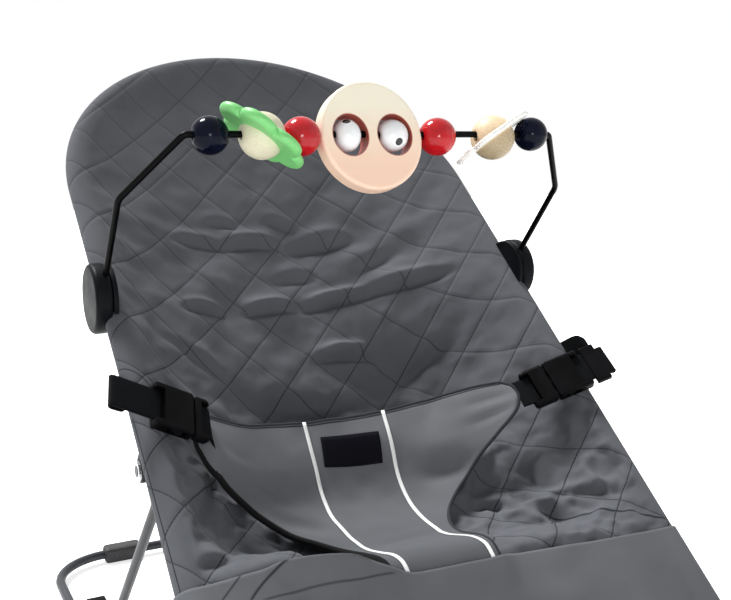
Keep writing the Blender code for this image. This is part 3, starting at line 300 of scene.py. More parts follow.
def rod(name, radius, low, high, home, sides=48):
    """A plain round bar on Z, for cutting."""
    bm = bmesh.new()
    bmesh.ops.create_cone(
        bm, cap_ends=True, segments=sides, radius1=radius, radius2=radius, depth=high - low,
        matrix=home @ Matrix.Translation((0, 0, (low + high) / 2)),
    )
    return from_bmesh(name, bm)


def rounded(corners, radii):
    """The path through the corners, each inner one turned into an arc of its own radius."""
    corners = [Vector(corner) for corner in corners]
    path = [corners[0]]
    for before, corner, after, radius in zip(corners, corners[1:], corners[2:], radii):
        come = (corner - before).normalized()
        go = (after - corner).normalized()
        turn = come.angle(go)
        axis = come.cross(go).normalized()
        start = corner - come * radius * math.tan(turn / 2)
        centre = start + axis.cross(come) * radius
        count = max(2, math.ceil(turn / ARC_STEP))
        for k in range(count + 1):
            path.append(centre + Matrix.Rotation(turn * k / count, 3, axis) @ (start - centre))
    path.append(corners[-1])
    return path


def cloth_sheet(name, across, along, spot, material, thickness, smooth=False, **shaping):
    """A grid that is smoothed where asked, and given its thickness."""
    made = grid(name, across, along, spot, material, **shaping)
    if smooth:
        subdivide(made)
    solidify(made, thickness)
    return apply_all(made)


def wire(name, points, radius, material, detail=5):
    """A round wire along the points, turned into a mesh."""
    curve = bpy.data.curves.new(name, "CURVE")
    curve.dimensions = "3D"
    curve.bevel_depth = radius
    curve.bevel_resolution = detail
    curve.use_fill_caps = True
    spline = curve.splines.new("POLY")
    spline.points.add(len(points) - 1)
    for knot, point in zip(spline.points, points):
        knot.co = (*point, 1.0)
    thing = add(name, curve)
    bpy.context.view_layer.update()
    graph = bpy.context.evaluated_depsgraph_get()
    mesh = bpy.data.meshes.new_from_object(thing.evaluated_get(graph))
    bpy.data.objects.remove(thing, do_unlink=True)
    bm = bmesh.new()
    bm.from_mesh(mesh)
    bmesh.ops.remove_doubles(bm, verts=bm.verts, dist=0.00001)
    return from_bmesh(name, bm, material, 50.0)


SLOTS = {row["node"]: row["material_slot"] for row in frame["record"]["subparts"]}


def stand_for(thing, body, *nodes, slot_of=None):
    """The piece rides on a body and stands for the CAD nodes given, if any. slot_of is not used."""
    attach(thing, body)
    if nodes:
        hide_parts(*nodes)
    return thing


# Materials

class Nodes:
    """A node tree while it is put together."""

    def __init__(self, tree):
        self.tree = tree

    def node(self, kind, inputs=(), **settings):
        made = self.tree.nodes.new(kind)
        for name, value in settings.items():
            setattr(made, name, value)
        for key, value in dict(inputs).items():
            self.feed(made.inputs[key], value)
        return made

    def feed(self, socket, value):
        if isinstance(value, bpy.types.NodeSocket):
            self.tree.links.new(value, socket)
        elif socket.type == "RGBA":
            socket.default_value = (*value[:3], 1.0)
        else:
            socket.default_value = value

    def math(self, operation, *values):
        return self.node("ShaderNodeMath", enumerate(values), operation=operation).outputs[0]

    def vector(self, operation, first, second):
        made = self.node("ShaderNodeVectorMath", {0: first, 1: second}, operation=operation)
        return made.outputs["Vector" if operation == "SUBTRACT" else "Value"]

    def highest(self, first, *others):
        for other in others:
            first = self.math("MAXIMUM", first, other)
        return first

    def length(self, across, along):
        squares = self.math("POWER", across, 2.0), self.math("POWER", along, 2.0)
        return self.math("SQRT", self.math("ADD", *squares))

    def noise(self, place, scale, detail=3.0):
        return self.node("ShaderNodeTexNoise", {"Vector": place, "Scale": scale, "Detail": detail}).outputs["Fac"]

    def span(self, value, low, high, to_low=0.0, to_high=1.0):
        """Goes from to_low to to_high while the value goes from low to high."""
        inputs = {0: value, 1: low, 2: high, 3: to_low, 4: to_high}
        return self.node("ShaderNodeMapRange", inputs, clamp=True).outputs[0]

    def mix(self, share, first, second):
        return self.node("ShaderNodeMix", {0: share, 6: first, 7: second}, data_type="RGBA").outputs[2]


def effect(make, inputs, outputs):
    """A node group for an effect that several materials share. make gives its outputs from its inputs."""
    net = Nodes(bpy.data.node_groups.new(make.__name__, "ShaderNodeTree"))
    for way, sockets in (("INPUT", inputs), ("OUTPUT", outputs)):
        for title, kind in sockets.items():
            net.tree.interface.new_socket(title, in_out=way, socket_type="NodeSocket" + kind)
    given, results = net.node("NodeGroupInput").outputs, net.node("NodeGroupOutput").inputs
    for title, value in zip(outputs, make(net, *(given[title] for title in inputs))):
        net.feed(results[title], value)
    return net.tree


class Look(Nodes):
    """A material round its shader."""

    def __init__(self, name, colour, roughness, **sockets):
        self.material = bpy.data.materials.new(name)
        self.material.use_nodes = True
        super().__init__(self.material.node_tree)
        self.shader = self.tree.nodes["Principled BSDF"]
        self.colour(colour)
        self.roughness(roughness)
        for socket, value in sockets.items():
            self.feed(self.shader.inputs[socket.replace("_", " ")], value)

    def use(self, shared, **values):
        """Places a shared effect with this material's own values, and gives its outputs."""
        return self.node("ShaderNodeGroup", values, node_tree=shared).outputs

    def finish(self, shared, distance, strength, **values):
        """Takes colour, gloss and relief from a shared effect."""
        made = self.use(shared, Place=self.place(), **values)
        self.colour(made["Colour"])
        self.bump(made["Height"], distance, strength)
        if "Roughness" in made:
            self.roughness(made["Roughness"])

    def place(self):
        return self.node("ShaderNodeTexCoord").outputs["Object"]

    def flat(self):
        """The two flat coordinates in metres, from the UV map."""
        split = self.node("ShaderNodeSeparateXYZ", {0: self.node("ShaderNodeUVMap", uv_map="flat").outputs[0]})
        return split.outputs[0], split.outputs[1]

    def colour(self, value):
        self.feed(self.shader.inputs["Base Color"], value)

    def tint(self, share, colour):
        """Lays a colour over the pattern that is there."""
        below = self.shader.inputs["Base Color"].links[0].from_socket
        self.colour(self.mix(share, below, colour))

    def roughness(self, value):
        self.feed(self.shader.inputs["Roughness"], value)

    def bump(self, height, distance, strength):
        """Adds relief of so many metres at height 1, on top of what is there already."""
        made = self.node("ShaderNodeBump", {"Height": height, "Distance": distance, "Strength": strength})
        below = self.shader.inputs["Normal"]
        if below.is_linked:
            self.tree.links.new(below.links[0].from_socket, made.inputs["Normal"])
        self.tree.links.new(made.outputs[0], below)


# Effects that several materials share

def weave(net, across, along, warp, weft):
    """Plain weave: threads that rise and dip by turns, from 0 to 1."""
    threads = net.math(
        "MULTIPLY", net.math("SINE", net.math("MULTIPLY", across, warp)),
        net.math("SINE", net.math("MULTIPLY", along, weft)),
    )
    return [net.math("MULTIPLY_ADD", threads, 0.5, 0.5)]


def cotton_cloth(net, place, threads, light, dark):
    """A broad mottle, a fine grain and the threads, together from dark to light."""
    mottle = net.span(net.noise(place, 26.0, 4.0), 0.30, 0.70)
    grain = net.span(net.noise(place, 1500.0, 2.0), 0.25, 0.75)
    share = net.math("ADD", net.math("MULTIPLY", mottle, 0.45), net.math("MULTIPLY", grain, 0.30))
    share = net.math("ADD", share, net.math("MULTIPLY", threads, 0.25))
    return net.mix(share, dark, light), grain


def sewn_line(net, away, near, far, strength):
    """The dark line of a seam: full up to near from its middle, and gone at far."""
    return [net.span(net.math("ABSOLUTE", away), near, far, strength, 0.0)]


def moulding(net, place, edge, colour, worn, smooth, dull):
    """Moulded plastic: fine spark texture, slight sheen changes and paler rubbed edges."""
    broad = net.noise(place, 55.0)
    wear = net.math("MULTIPLY", net.span(edge, 0.52, 0.60), net.span(broad, 0.35, 0.65, 0.15, 0.6))
    return net.mix(wear, colour, worn), net.span(broad, 0.3, 0.7, smooth, dull), net.noise(place, 2600.0, 2.0)


def powder_coat(net, place, colour, paler, smooth, dull):
    """Powder coat: fine orange peel, with paler and duller patches."""
    broad = net.noise(place, 40.0)
    patches = net.span(broad, 0.35, 0.7, 0.0, 0.6)
    return net.mix(patches, colour, paler), net.span(broad, 0.3, 0.7, smooth, dull), net.noise(place, 900.0, 2.0)


def lacquer(net, place, colour, deep):
    """Lacquer: deeper in patches, and faintly wavy."""
    depth = net.span(net.noise(place, 70.0, 2.0), 0.3, 0.7)
    return net.mix(depth, deep, colour), net.noise(place, 120.0, 2.0)


def wood(net, place, colour, fibre, share, smooth, dull):
    """Fine fibres along X that show through paint, and slight changes of its gloss."""
    stretch = net.node("ShaderNodeMapping", {"Vector": place, "Scale": (60.0, 900.0, 900.0)}).outputs[0]
    fibres = net.noise(stretch, 1.0)
    shown_fibres = net.math("MULTIPLY", net.span(fibres, 0.35, 0.7), share)
    return net.mix(shown_fibres, colour, fibre), net.span(net.noise(place, 90.0), 0.3, 0.7, smooth, dull), fibres


def eye(net, place, pupil):
    """An eye's slightly uneven white, with a round black pupil round a point."""
    patches = net.span(net.noise(place, 120.0), 0.4, 0.7, 0.0, 0.5)
    white = net.mix(patches, (0.93, 0.94, 0.95), (0.87, 0.89, 0.92))
    black = net.span(net.vector("DISTANCE", place, pupil), PUPIL - 0.0002, PUPIL, 1.0, 0.0)
    return net.mix(black, white, srgb(5, 5, 8)), net.noise(place, 150.0)


PLACE, GLOSS = {"Place": "Vector"}, {"Smooth": "Float", "Dull": "Float"}
PATTERN = {"Colour": "Color", "Height": "Float"}
FULL_PATTERN = {"Colour": "Color", "Roughness": "Float", "Height": "Float"}
WEAVE = effect(weave, {"Across": "Float", "Along": "Float", "Warp": "Float", "Weft": "Float"}, {"Threads": "Float"})
COTTON_CLOTH = effect(cotton_cloth, {**PLACE, "Threads": "Float", "Light": "Color", "Dark": "Color"}, PATTERN)
SEWN_LINE = effect(
    sewn_line, {"Away": "Float", "Near": "Float", "Far": "Float", "Strength": "Float"}, {"Mask": "Float"},
)
MOULDING = effect(moulding, {**PLACE, "Edge": "Float", "Colour": "Color", "Worn": "Color", **GLOSS}, FULL_PATTERN)
POWDER_COAT = effect(powder_coat, {**PLACE, "Colour": "Color", "Paler": "Color", **GLOSS}, FULL_PATTERN)
LACQUER = effect(lacquer, {**PLACE, "Colour": "Color", "Deep": "Color"}, PATTERN)
WOOD = effect(wood, {**PLACE, "Colour": "Color", "Fibre": "Color", "Share": "Float", **GLOSS}, FULL_PATTERN)
EYE = effect(eye, {**PLACE, "Pupil": "Vector"}, PATTERN)


# Cloth

def woven(look, u, v, warp, weft):
    """The relief of threads that come back after so many metres across and along."""
    return look.use(WEAVE, Across=u, Along=v, Warp=2 * math.pi / warp, Weft=2 * math.pi / weft)["Threads"]


def cotton(name, light, dark):
    """Woven cotton with a faint mottle, thread by thread relief and a soft sheen."""
    look = Look(name, light, 0.88, Specular_IOR_Level=0.18, Sheen_Weight=0.05, Sheen_Roughness=0.5)
    u, v = look.flat()
    threads = woven(look, u, v, 0.0011, 0.0011)
    look.bump(threads, 0.00010, 0.5)
    look.finish(COTTON_CLOTH, 0.00008, 0.4, Threads=threads, Light=light, Dark=dark)
    return look, u, v


def seam(look, away, near, far, strength, *stretches):
    """A seam's line, by the distance from its middle, and only where its stretches reach 1."""
    mask = look.use(SEWN_LINE, Away=away, Near=near, Far=far, Strength=strength)["Mask"]
    for stretch in stretches:
        mask = look.math("MULTIPLY", mask, look.span(*stretch))
    return mask


def off_circle(look, u, v, centre_x, centre_s, radius):
    """How far a flat place lies outside a circle."""
    across, along = look.math("SUBTRACT", u, centre_x), look.math("SUBTRACT", v, centre_s)
    return look.math("SUBTRACT", look.length(across, along), radius)


def off_line(look, u, v, x, s, rise):
    """How far a flat place lies above a straight line through a place."""
    return look.math("ADD", v, look.math("MULTIPLY_ADD", look.math("SUBTRACT", u, x), -rise, -s))


def quilted_cotton():
    """The cotton of the sling, with its seams sewn along both diagonals of the quilting."""
    look, u, v = cotton("quilted_cotton", srgb(97, 99, 104), srgb(82, 84, 89))
    a = look.math("DIVIDE", look.math("SUBTRACT", u, QUILT_X), 2 * QUILT_WIDE)
    b = look.math("DIVIDE", look.math("SUBTRACT", v, QUILT_S), 2 * QUILT_LONG)
    lines = []
    for along, cross, weight in (("SUBTRACT", "ADD", 0.90), ("ADD", "SUBTRACT", 0.65)):
        away = look.math("MULTIPLY", look.math("PINGPONG", look.math(along, a, b), 0.5), SEAM_SPACING)
        run = look.math("MULTIPLY", look.math(cross, a, b), SEAM_SPACING / STITCH)
        stitch = look.span(look.math("PINGPONG", run, 0.5), 0.06, 0.14)
        dashes = look.math("MULTIPLY_ADD", stitch, 0.35, 0.65)
        line = look.math("MULTIPLY", seam(look, away, 0.00022, 0.00075, 1.0), dashes)
        lines.append(look.math("MULTIPLY", line, weight))
        look.bump(look.span(away, 0.0, 0.0030), 0.0007, 0.6)
    fading = look.span(v, -0.26, 0.12, 1.0, 0.50)
    diamonds = look.math("MULTIPLY", look.highest(*lines), fading)
    beside_tube = seam(
        look, look.math("SUBTRACT", u, -0.1945), 0.0002, 0.0008, 0.9, (v, -0.240, -0.236, 1.0, 0.0),
    )
    above_strap = seam(
        look, off_circle(look, u, v, -0.2075, -0.2275, 0.0360), 0.0002, 0.0008, 0.8,
        (u, -0.203, -0.200), (v, -0.2275, -0.2250),
    )
    slanted = seam(look, off_line(look, u, v, 0.120, -0.359, -0.576), 0.0004, 0.0013, 0.9, (u, 0.108, 0.116))
    look.tint(look.highest(diamonds, beside_tube, above_strap, slanted), srgb(26, 27, 31))
    return look.material


def plain_cotton():
    """The foot panel's cotton, with the curved and straight seams of its pocket."""
    look, u, v = cotton("plain_cotton", srgb(107, 109, 113), srgb(94, 96, 100))
    curved = seam(
        look, off_circle(look, u, v, -0.1093, -0.4380, 0.0647), 0.0004, 0.0013, 0.85,
        (u, -0.112, -0.107, 1.0, 0.0), (u, -0.156, -0.153), (v, -0.4380, -0.4370),
    )
    straight = seam(
        look, off_line(look, u, v, -0.055, -0.397, -0.042), 0.0003, 0.0011, 0.6,
        (u, -0.060, -0.055, 1.0, 0.0), (u, -0.148, -0.143),
    )
    short = seam(
        look, off_line(look, u, v, -0.1574, -0.3757, 0.79), 0.0004, 0.0013, 0.7,
        (u, -0.156, -0.152, 1.0, 0.0), (u, -0.174, -0.170),
    )
    look.tint(look.highest(curved, straight, short), srgb(34, 35, 39))
    return look.material


def panel_cotton():
    """The crotch panel's cotton, with painted shade that darkens it low down, and the seam of its turned upper edge.
    """
    look, u, v = cotton("panel_cotton", srgb(118, 120, 124), srgb(104, 106, 110))
    # Painted shade: the cloth is tinted darker towards the panel's lower end.
    look.tint(look.span(v, -0.345, -0.255, 0.60, 0.0), srgb(66, 68, 72))
    away = look.math("SUBTRACT", v, PANEL_TOP - 0.0024)
    look.bump(look.span(look.math("ABSOLUTE", away), 0.0, 0.0012), 0.0004, 0.5)
    look.tint(seam(look, away, 0.0003, 0.0009, 0.9), srgb(30, 31, 35))
    return look.material


def ribbon():
    """White ribbon with ribs across it."""
    look = Look("white_ribbon", (0.90, 0.90, 0.90), 0.6, Sheen_Weight=0.2)
    ribs = look.math("SINE", look.math("MULTIPLY", look.flat()[1], 2 * math.pi / 0.0009))
    share = look.math("MULTIPLY_ADD", ribs, 0.5, 0.5)
    look.colour(look.mix(share, (0.86, 0.86, 0.87), (0.95, 0.95, 0.95)))
    look.bump(share, 0.0001, 0.5)
    return look.material


def label_cloth():
    look = Look("label_cloth", srgb(14, 14, 21), 0.8, Specular_IOR_Level=0.05)
    threads = woven(look, *look.flat(), 0.0006, 0.0006)
    look.colour(look.mix(threads, srgb(9, 9, 15), srgb(20, 20, 28)))
    look.bump(threads, 0.0001, 0.5)
    return look.material


def webbing_cloth():
    """Ribbed polyester webbing: rows along it, crossed by finer picks."""
    look = Look("webbing", srgb(8, 9, 10), 0.7, Specular_IOR_Level=0.06)
    herring = woven(look, *look.flat(), 0.0016, 0.0011)
    grain = look.noise(look.place(), 900.0, 2.0)
    look.colour(look.mix(look.math("MULTIPLY", herring, grain), srgb(3, 4, 5), srgb(17, 19, 22)))
    look.bump(herring, 0.00018, 0.8)
    return look.material


# Plastic, steel, paint and rubber

def moulded(name, colour, worn, roughness, gloss):
    look = Look(name, colour, roughness, Specular_IOR_Level=gloss)
    edge = look.node("ShaderNodeNewGeometry").outputs["Pointiness"]
    change = {"Smooth": roughness - 0.06, "Dull": roughness + 0.08}
    look.finish(MOULDING, 0.00005, 0.6, Edge=edge, Colour=colour, Worn=worn, **change)
    return look.material


def painted_steel(name, colour, roughness, gloss):
    look = Look(name, colour, roughness, Specular_IOR_Level=gloss)
    paler = tuple(min(1.0, value * 1.5 + 0.002) for value in colour)
    change = {"Smooth": roughness - 0.05, "Dull": roughness + 0.08}
    look.finish(POWDER_COAT, 0.00006, 0.5, Colour=colour, Paler=paler, **change)
    return look.material


def bare_steel():
    """Brushed steel with duller patches."""
    look = Look("bright_steel", (0.62, 0.63, 0.65), 0.28, Metallic=1.0)
    place = look.place()
    brushed = look.noise(place, 300.0, 4.0)
    look.roughness(look.span(brushed, 0.3, 0.7, 0.2, 0.42))
    patches = look.span(look.noise(place, 60.0), 0.4, 0.7)
    look.colour(look.mix(patches, (0.62, 0.63, 0.65), (0.50, 0.50, 0.52)))
    look.bump(brushed, 0.00003, 0.4)
    return look.material


def lacquered(name, colour, deep, gloss):
    """Glossy lacquer on a turned bead."""
    look = Look(name, colour, 0.13, Specular_IOR_Level=gloss)
    look.finish(LACQUER, 0.00010, 0.3, Colour=colour, Deep=deep)
    return look.material


def painted_wood(name, colour, fibre, roughness, share):
    """Satin paint over fine-grained wood, whose fibres show by a share."""
    look = Look(name, colour, roughness, Specular_IOR_Level=0.4, Coat_Weight=0.12, Coat_Roughness=0.3)
    change = {"Smooth": roughness - 0.05, "Dull": roughness + 0.07}
    look.finish(WOOD, 0.00006, 0.4, Colour=colour, Fibre=fibre, Share=share, **change)
    return look


def natural_wood():
    """Bare wood, with painted shade on the side that its disc keeps from the light."""
    look = painted_wood("natural_wood", srgb(238, 214, 178), srgb(226, 200, 162), 0.5, 0.6)
    from_middle = look.vector("SUBTRACT", look.place(), on_wire(PALE_X, PALE_SAG))
    facing = look.vector("DOT_PRODUCT", from_middle, PALE_NORMAL)
    # Painted shade: the side of the ball below its disc's plane is tinted darker.
    look.tint(look.span(facing, -0.0030, -0.0010, 0.75, 0.0), srgb(150, 134, 104))
    return look.material


def face_paint():
    """The face's paint, with a painted highlight that pales it towards its upper edge, and painted shade in red-brown
    inside the eye holes.
    """
    look = painted_wood("face_paint", srgb(255, 218, 193), srgb(250, 211, 184), 0.42, 0.30)
    x, y, z = look.node("ShaderNodeSeparateXYZ", {0: look.place()}).outputs
    # Painted highlight: the paint turns paler towards the upper edge, where the light falls fullest.
    look.tint(look.span(z, 0.466, 0.508), srgb(254, 246, 224))
    beside = look.math("ABSOLUTE", look.math("SUBTRACT", x, FACE_MIDDLE.x))
    across = look.math("DIVIDE", look.math("SUBTRACT", beside, EYE_HOLE_X), EYE_OVAL)
    height = look.math("MULTIPLY", look.math("SUBTRACT", z, FACE_MIDDLE.z), math.cos(FACE_LEAN))
    ahead = look.math("MULTIPLY", look.math("SUBTRACT", y, FACE_MIDDLE.y), math.sin(FACE_LEAN))
    reach = look.length(across, look.math("ADD", height, ahead))
    # Painted shade: the walls inside the eye holes are tinted a darker red-brown.
    look.tint(look.span(reach, EYE_HOLE + 0.0001, EYE_HOLE + 0.0009, 1.0, 0.0), srgb(176, 88, 74))
    return look.material


def eye_white(name, pupil):
    """Glossy white with a black pupil round a point."""
    look = Look(name, (0.93, 0.94, 0.95), 0.14, Specular_IOR_Level=0.5)
    look.finish(EYE, 0.00006, 0.3, Pupil=pupil)
    return look.material


def rubber():
    """Dull rubber with a fine grain and dusty patches."""
    look = Look("foot_rubber", (0.020, 0.020, 0.022), 0.7)
    place = look.place()
    patches = look.span(look.noise(place, 200.0), 0.4, 0.7)
    look.colour(look.mix(patches, (0.016, 0.016, 0.018), (0.035, 0.035, 0.037)))
    look.bump(look.noise(place, 1200.0), 0.0001, 0.6)
    return look.material


QUILTED_COTTON = quilted_cotton()
PLAIN_COTTON = plain_cotton()
PANEL_COTTON = panel_cotton()
BINDING = cotton("binding_cotton", srgb(52, 53, 57), srgb(40, 41, 45))[0].material
# Near-black cloth for the cord under the crotch panel's left edge, as painted shade for the gap there.
SHADE_STRIP_CLOTH = cotton("shade_strip_cotton", srgb(6, 6, 8), srgb(3, 3, 4))[0].material
RIBBON = ribbon()
LABEL = label_cloth()
WEBBING = webbing_cloth()
PLASTIC = moulded("black_plastic", srgb(7, 7, 8), srgb(24, 24, 27), 0.40, 0.04)
CLAMP = moulded("clamp_plastic", srgb(11, 14, 17), srgb(28, 32, 36), 0.44, 0.06)
FRAME_PAINT = painted_steel("frame_paint", srgb(44, 46, 50), 0.36, 0.3)
TOY_PAINT = painted_steel("toy_wire_paint", srgb(4, 4, 5), 0.30, 0.05)
STEEL = bare_steel()
NAVY = lacquered("navy_lacquer", srgb(11, 16, 36), srgb(6, 8, 24), 0.08)
RED = lacquered("red_lacquer", srgb(204, 26, 36), srgb(180, 14, 24), 0.3)
GREEN = painted_wood("green_paint", srgb(130, 214, 128), srgb(112, 196, 112), 0.45, 0.5).material
CREAM = painted_wood("cream_wood", srgb(226, 220, 192), srgb(208, 202, 172), 0.45, 0.5).material
NATURAL = natural_wood()
PALE = painted_wood("pale_paint", srgb(253, 252, 247), srgb(246, 244, 236), 0.45, 0.4).material
FACE = face_paint()
RUBBER = rubber()


# The quilted sling

def wrap_radius(x, s):
    """The cover's outside round the tube: close at the head, looser beside the left leg opening."""
    return SLEEVE + SLEEVE_GAIN * ease(-s, 0.18, 0.42) * ease(-x, 0.0, 0.05)


def cover_height(x, s):
    half = COVER_HALF if s <= 0 else math.sqrt(max(COVER_HALF ** 2 - s * s, 1e-9))
    share = min(1.0, abs(x) / half)
    return -COVER_REST - smooth_between(SAG, s) * (1 - share ** 2.4)


def beyond(x, s):
    """How far a flat place lies inside the tube's centreline, and the way out from there."""
    if s > 0:
        reach = math.hypot(x, s)
        return TUBE_X - reach, (x / reach, s / reach)
    return TUBE_X - abs(x), (math.copysign(1.0, x), 0.0)


def round_tube(x, s, radius):
    """Where a flat place past the tube's centreline lies, wrapped round the tube."""
    inside, out = beyond(x, s)
    angle = -inside / radius
    side = radius * math.sin(angle)
    x, s = (at + way * inside + way * side for at, way in ((x, out[0]), (s, out[1])))
    return seat_point(x, s, radius * math.cos(angle))


def over_tube(inside, radius):
    """Height of cloth that lies on the tube, falling away steeply inside it."""
    return math.sqrt(max(radius ** 2 - inside ** 2, 0.0)) if inside < radius else -(inside - radius) * 8


# Folds: how much deeper all are made, and each one's middle, half length, direction in degrees, width and
# depth
FOLD_GAIN = 1.4
FOLDS = (
    (-0.081, -0.028, 0.026, -7, 0.0042, 0.0045),
    (-0.031, -0.029, 0.030, 0, 0.0048, 0.0054),
    (0.037, -0.032, 0.034, 3, 0.0060, 0.0063),
    (-0.095, -0.100, 0.021, 0, 0.0036, 0.0051),
    (-0.031, -0.098, 0.026, 2, 0.0040, 0.0069),
    (0.036, -0.094, 0.036, 5, 0.0042, 0.0084),
    (0.105, -0.092, 0.044, -5, 0.0046, 0.0075),
    (0.030, -0.147, 0.032, 0, 0.0038, 0.0081),
    (0.002, -0.066, 0.024, 4, 0.0060, 0.0039),
    (-0.054, -0.007, 0.016, -15, 0.0040, 0.0027),
    (0.004, -0.009, 0.018, -22, 0.0040, 0.0027),
    (0.086, -0.060, 0.030, 12, 0.0070, 0.0039),
    (-0.120, -0.150, 0.030, -28, 0.0060, 0.0033),
    (0.100, -0.165, 0.034, 22, 0.0070, 0.0045),
    (-0.040, -0.190, 0.040, -8, 0.0080, 0.0036),
    (0.090, -0.330, 0.020, -38, 0.0045, 0.0060),
    (0.150, -0.350, 0.026, -30, 0.0040, 0.0045),
    (-0.176, -0.357, 0.024, 8, 0.0050, 0.0083),
    (-0.150, -0.290, 0.030, 55, 0.0055, 0.0045),
)


def folds(x, s):
    """Short folds across the sling: a ridge, a steep face towards the foot end and a valley."""
    total = 0.0
    for middle_x, middle_s, half, degrees, width, depth in FOLDS:
        turn = math.radians(degrees)
        dx, ds = x - middle_x, s - middle_s
        u = dx * math.cos(turn) + ds * math.sin(turn)
        v = ds * math.cos(turn) - dx * math.sin(turn)
        if abs(u) >= half * 1.15 or abs(v) > 0.035:
            continue
        v += 0.0030 * (u / half) ** 2
        along = max(0.0, 1 - (u / half / 1.15) ** 2) ** 1.5
        section = 0.60 * bell(v, 1.3 * width, 1.5 * width) - bell(v, -0.4 * width, width)
        total += FOLD_GAIN * depth * along * section
    return total


def puff(x, s):
    """Height of the quilting between its seams, 0 on them and 1 in the middle of a cell."""
    a = (x - QUILT_X) / (2 * QUILT_WIDE)
    b = (s - QUILT_S) / (2 * QUILT_LONG)
    return (abs(math.sin(math.pi * (a + b))) * abs(math.sin(math.pi * (a - b)))) ** 0.6


def fullness(x, s):
    """How far the cells stand proud: hardly near the head, most beside the crotch panel."""
    low = ease(-s, 0.00, 0.28)
    right = bell(x, 0.120, 0.070) * bell(s, -0.335, 0.085)
    left = bell(x, -0.130, 0.060) * bell(s, -0.310, 0.080)
    return 0.12 + 0.26 * low + 1.05 * right + 0.50 * left


BROAD_RIPPLE, FINE_RIPPLE, CRUMPLE = 0.0036, 0.0014, 0.0110


def ripple(x, s):
    """Slow unevenness of the stretched cloth, with sharper crumpling beside the leg openings."""
    broad = uneven(x, s, 20.0, 30.0, 4.0)
    fine = uneven(x, s, 52.0, 64.0, 9.0)
    share = 0.2 + 0.8 * ease(-s, -0.08, 0.06)
    crease = 0.5 - abs(noise.noise(Vector((x * 38.0 + s * 14.0, s * 44.0, 21.0))))
    beside = bell(x, 0.115, 0.070) * bell(s, -0.340, 0.070) + 0.6 * bell(x, -0.150, 0.050) * bell(s, -0.320, 0.070)
    return (BROAD_RIPPLE * broad + FINE_RIPPLE * fine) * share + CRUMPLE * crease * beside


# Hollows: middle, half width, half length and depth, and how much slower they rise than they fall
HOLLOWS = (
    (0.090, -0.176, 0.058, 0.036, 0.0240),
    (-0.035, -0.206, 0.050, 0.028, 0.0100),
    (-0.080, -0.020, 0.050, 0.030, 0.0030),
    (0.030, -0.030, 0.050, 0.026, 0.0040),
)
SLOW_RISE = 2.4


def hollow(x, s):
    """Broad hollows where the sling has been sat in: steep above, and slow to rise towards the foot end."""
    return sum(
        depth * bell(x, at, wide) * bell(s, along, long if s > along else SLOW_RISE * long)
        for at, along, wide, long, depth in HOLLOWS
    )


def beside_panel(x, s):
    """The sling comes up to the crotch panel's edges and drops away just under them."""
    total = 0.0
    for side, share, near, reach in (
        (-1, ease(-s, 0.266, 0.300) * (1 - ease(-s, 0.345, 0.382)), 0.0150, 0.015),
        (1, ease(-s, 0.262, 0.296) * (1 - ease(-s, 0.372, 0.390)), 0.0065, 0.018),
    ):
        if share <= 0:
            continue
        edge = panel_row(LEFT_EDGE if side < 0 else RIGHT_EDGE, s)
        away = side * (x - edge)
        rise = (panel_height(edge, s) - near - cover_height(edge, s)) * share
        if away > 0:
            total += rise * math.exp(-((away / reach) ** 1.4))
        else:
            total += rise * (1 - ease(-away, 0.0, 0.013))
    return total


# Height of the cover where it meets the foot panel: continuous with it except under the crotch panel
SEAM_HEIGHT = (
    (-0.185, 0.0070), (-0.170, 0.0105), (-0.150, 0.0155), (-0.130, 0.0215), (-0.114, 0.0210), (-0.100, -0.0060),
    (-0.070, -0.0180), (-0.030, -0.0120), (0.020, -0.0040), (0.040, 0.0072), (0.185, 0.0062),
)
UNDER_PANEL = 0.0028


def toward_seam(x, s, height):
    """Lifts the lower end of the sling to the foot panel's upper edge, and keeps it under the panel."""
    top = smooth_between(FOOT_TOP, x)
    seam = smooth_between(SEAM_HEIGHT, x)
    share = ease(-s, -top - 0.040, -top)
    height += (seam - height) * share
    if s < top + 0.006:
        height = min(height, foot_height(x, min(s, top)) - UNDER_PANEL)
    return height


def cover_spot(x, s):
    """Where a flat place of the cover lies: on the sling, or wrapped round the tube."""
    inside = beyond(x, s)[0]
    radius = wrap_radius(x, s)
    if inside < 0:
        return round_tube(x, s, radius)
    over = over_tube(inside, radius)
    hang = cover_height(x, s) + (radius + COVER_REST) * math.exp(-((inside / 0.030) ** 1.3))
    hang += (beside_panel(x, s) - hollow(x, s)) * ease(inside, 0.006, 0.034)
    if s < -0.32:
        hang = toward_seam(x, s, hang)
    return seat_point(x, s, higher(over, hang, 0.0001 + 0.004 * ease(inside, 0.0, 0.010)))


COVER_LOW = -0.428
COVER_REACH = 0.0225
CLOTH_CAP = 0.0120
CLOTH_FRAMES = 20
FILLING = {
    "quality": 4, "mass": 0.15, "tension_stiffness": 12.0, "compression_stiffness": 12.0, "shear_stiffness": 4.0,
    "bending_stiffness": 0.3, "shrink_min": -0.10, "use_pressure": True, "uniform_pressure_force": 4.0,
}


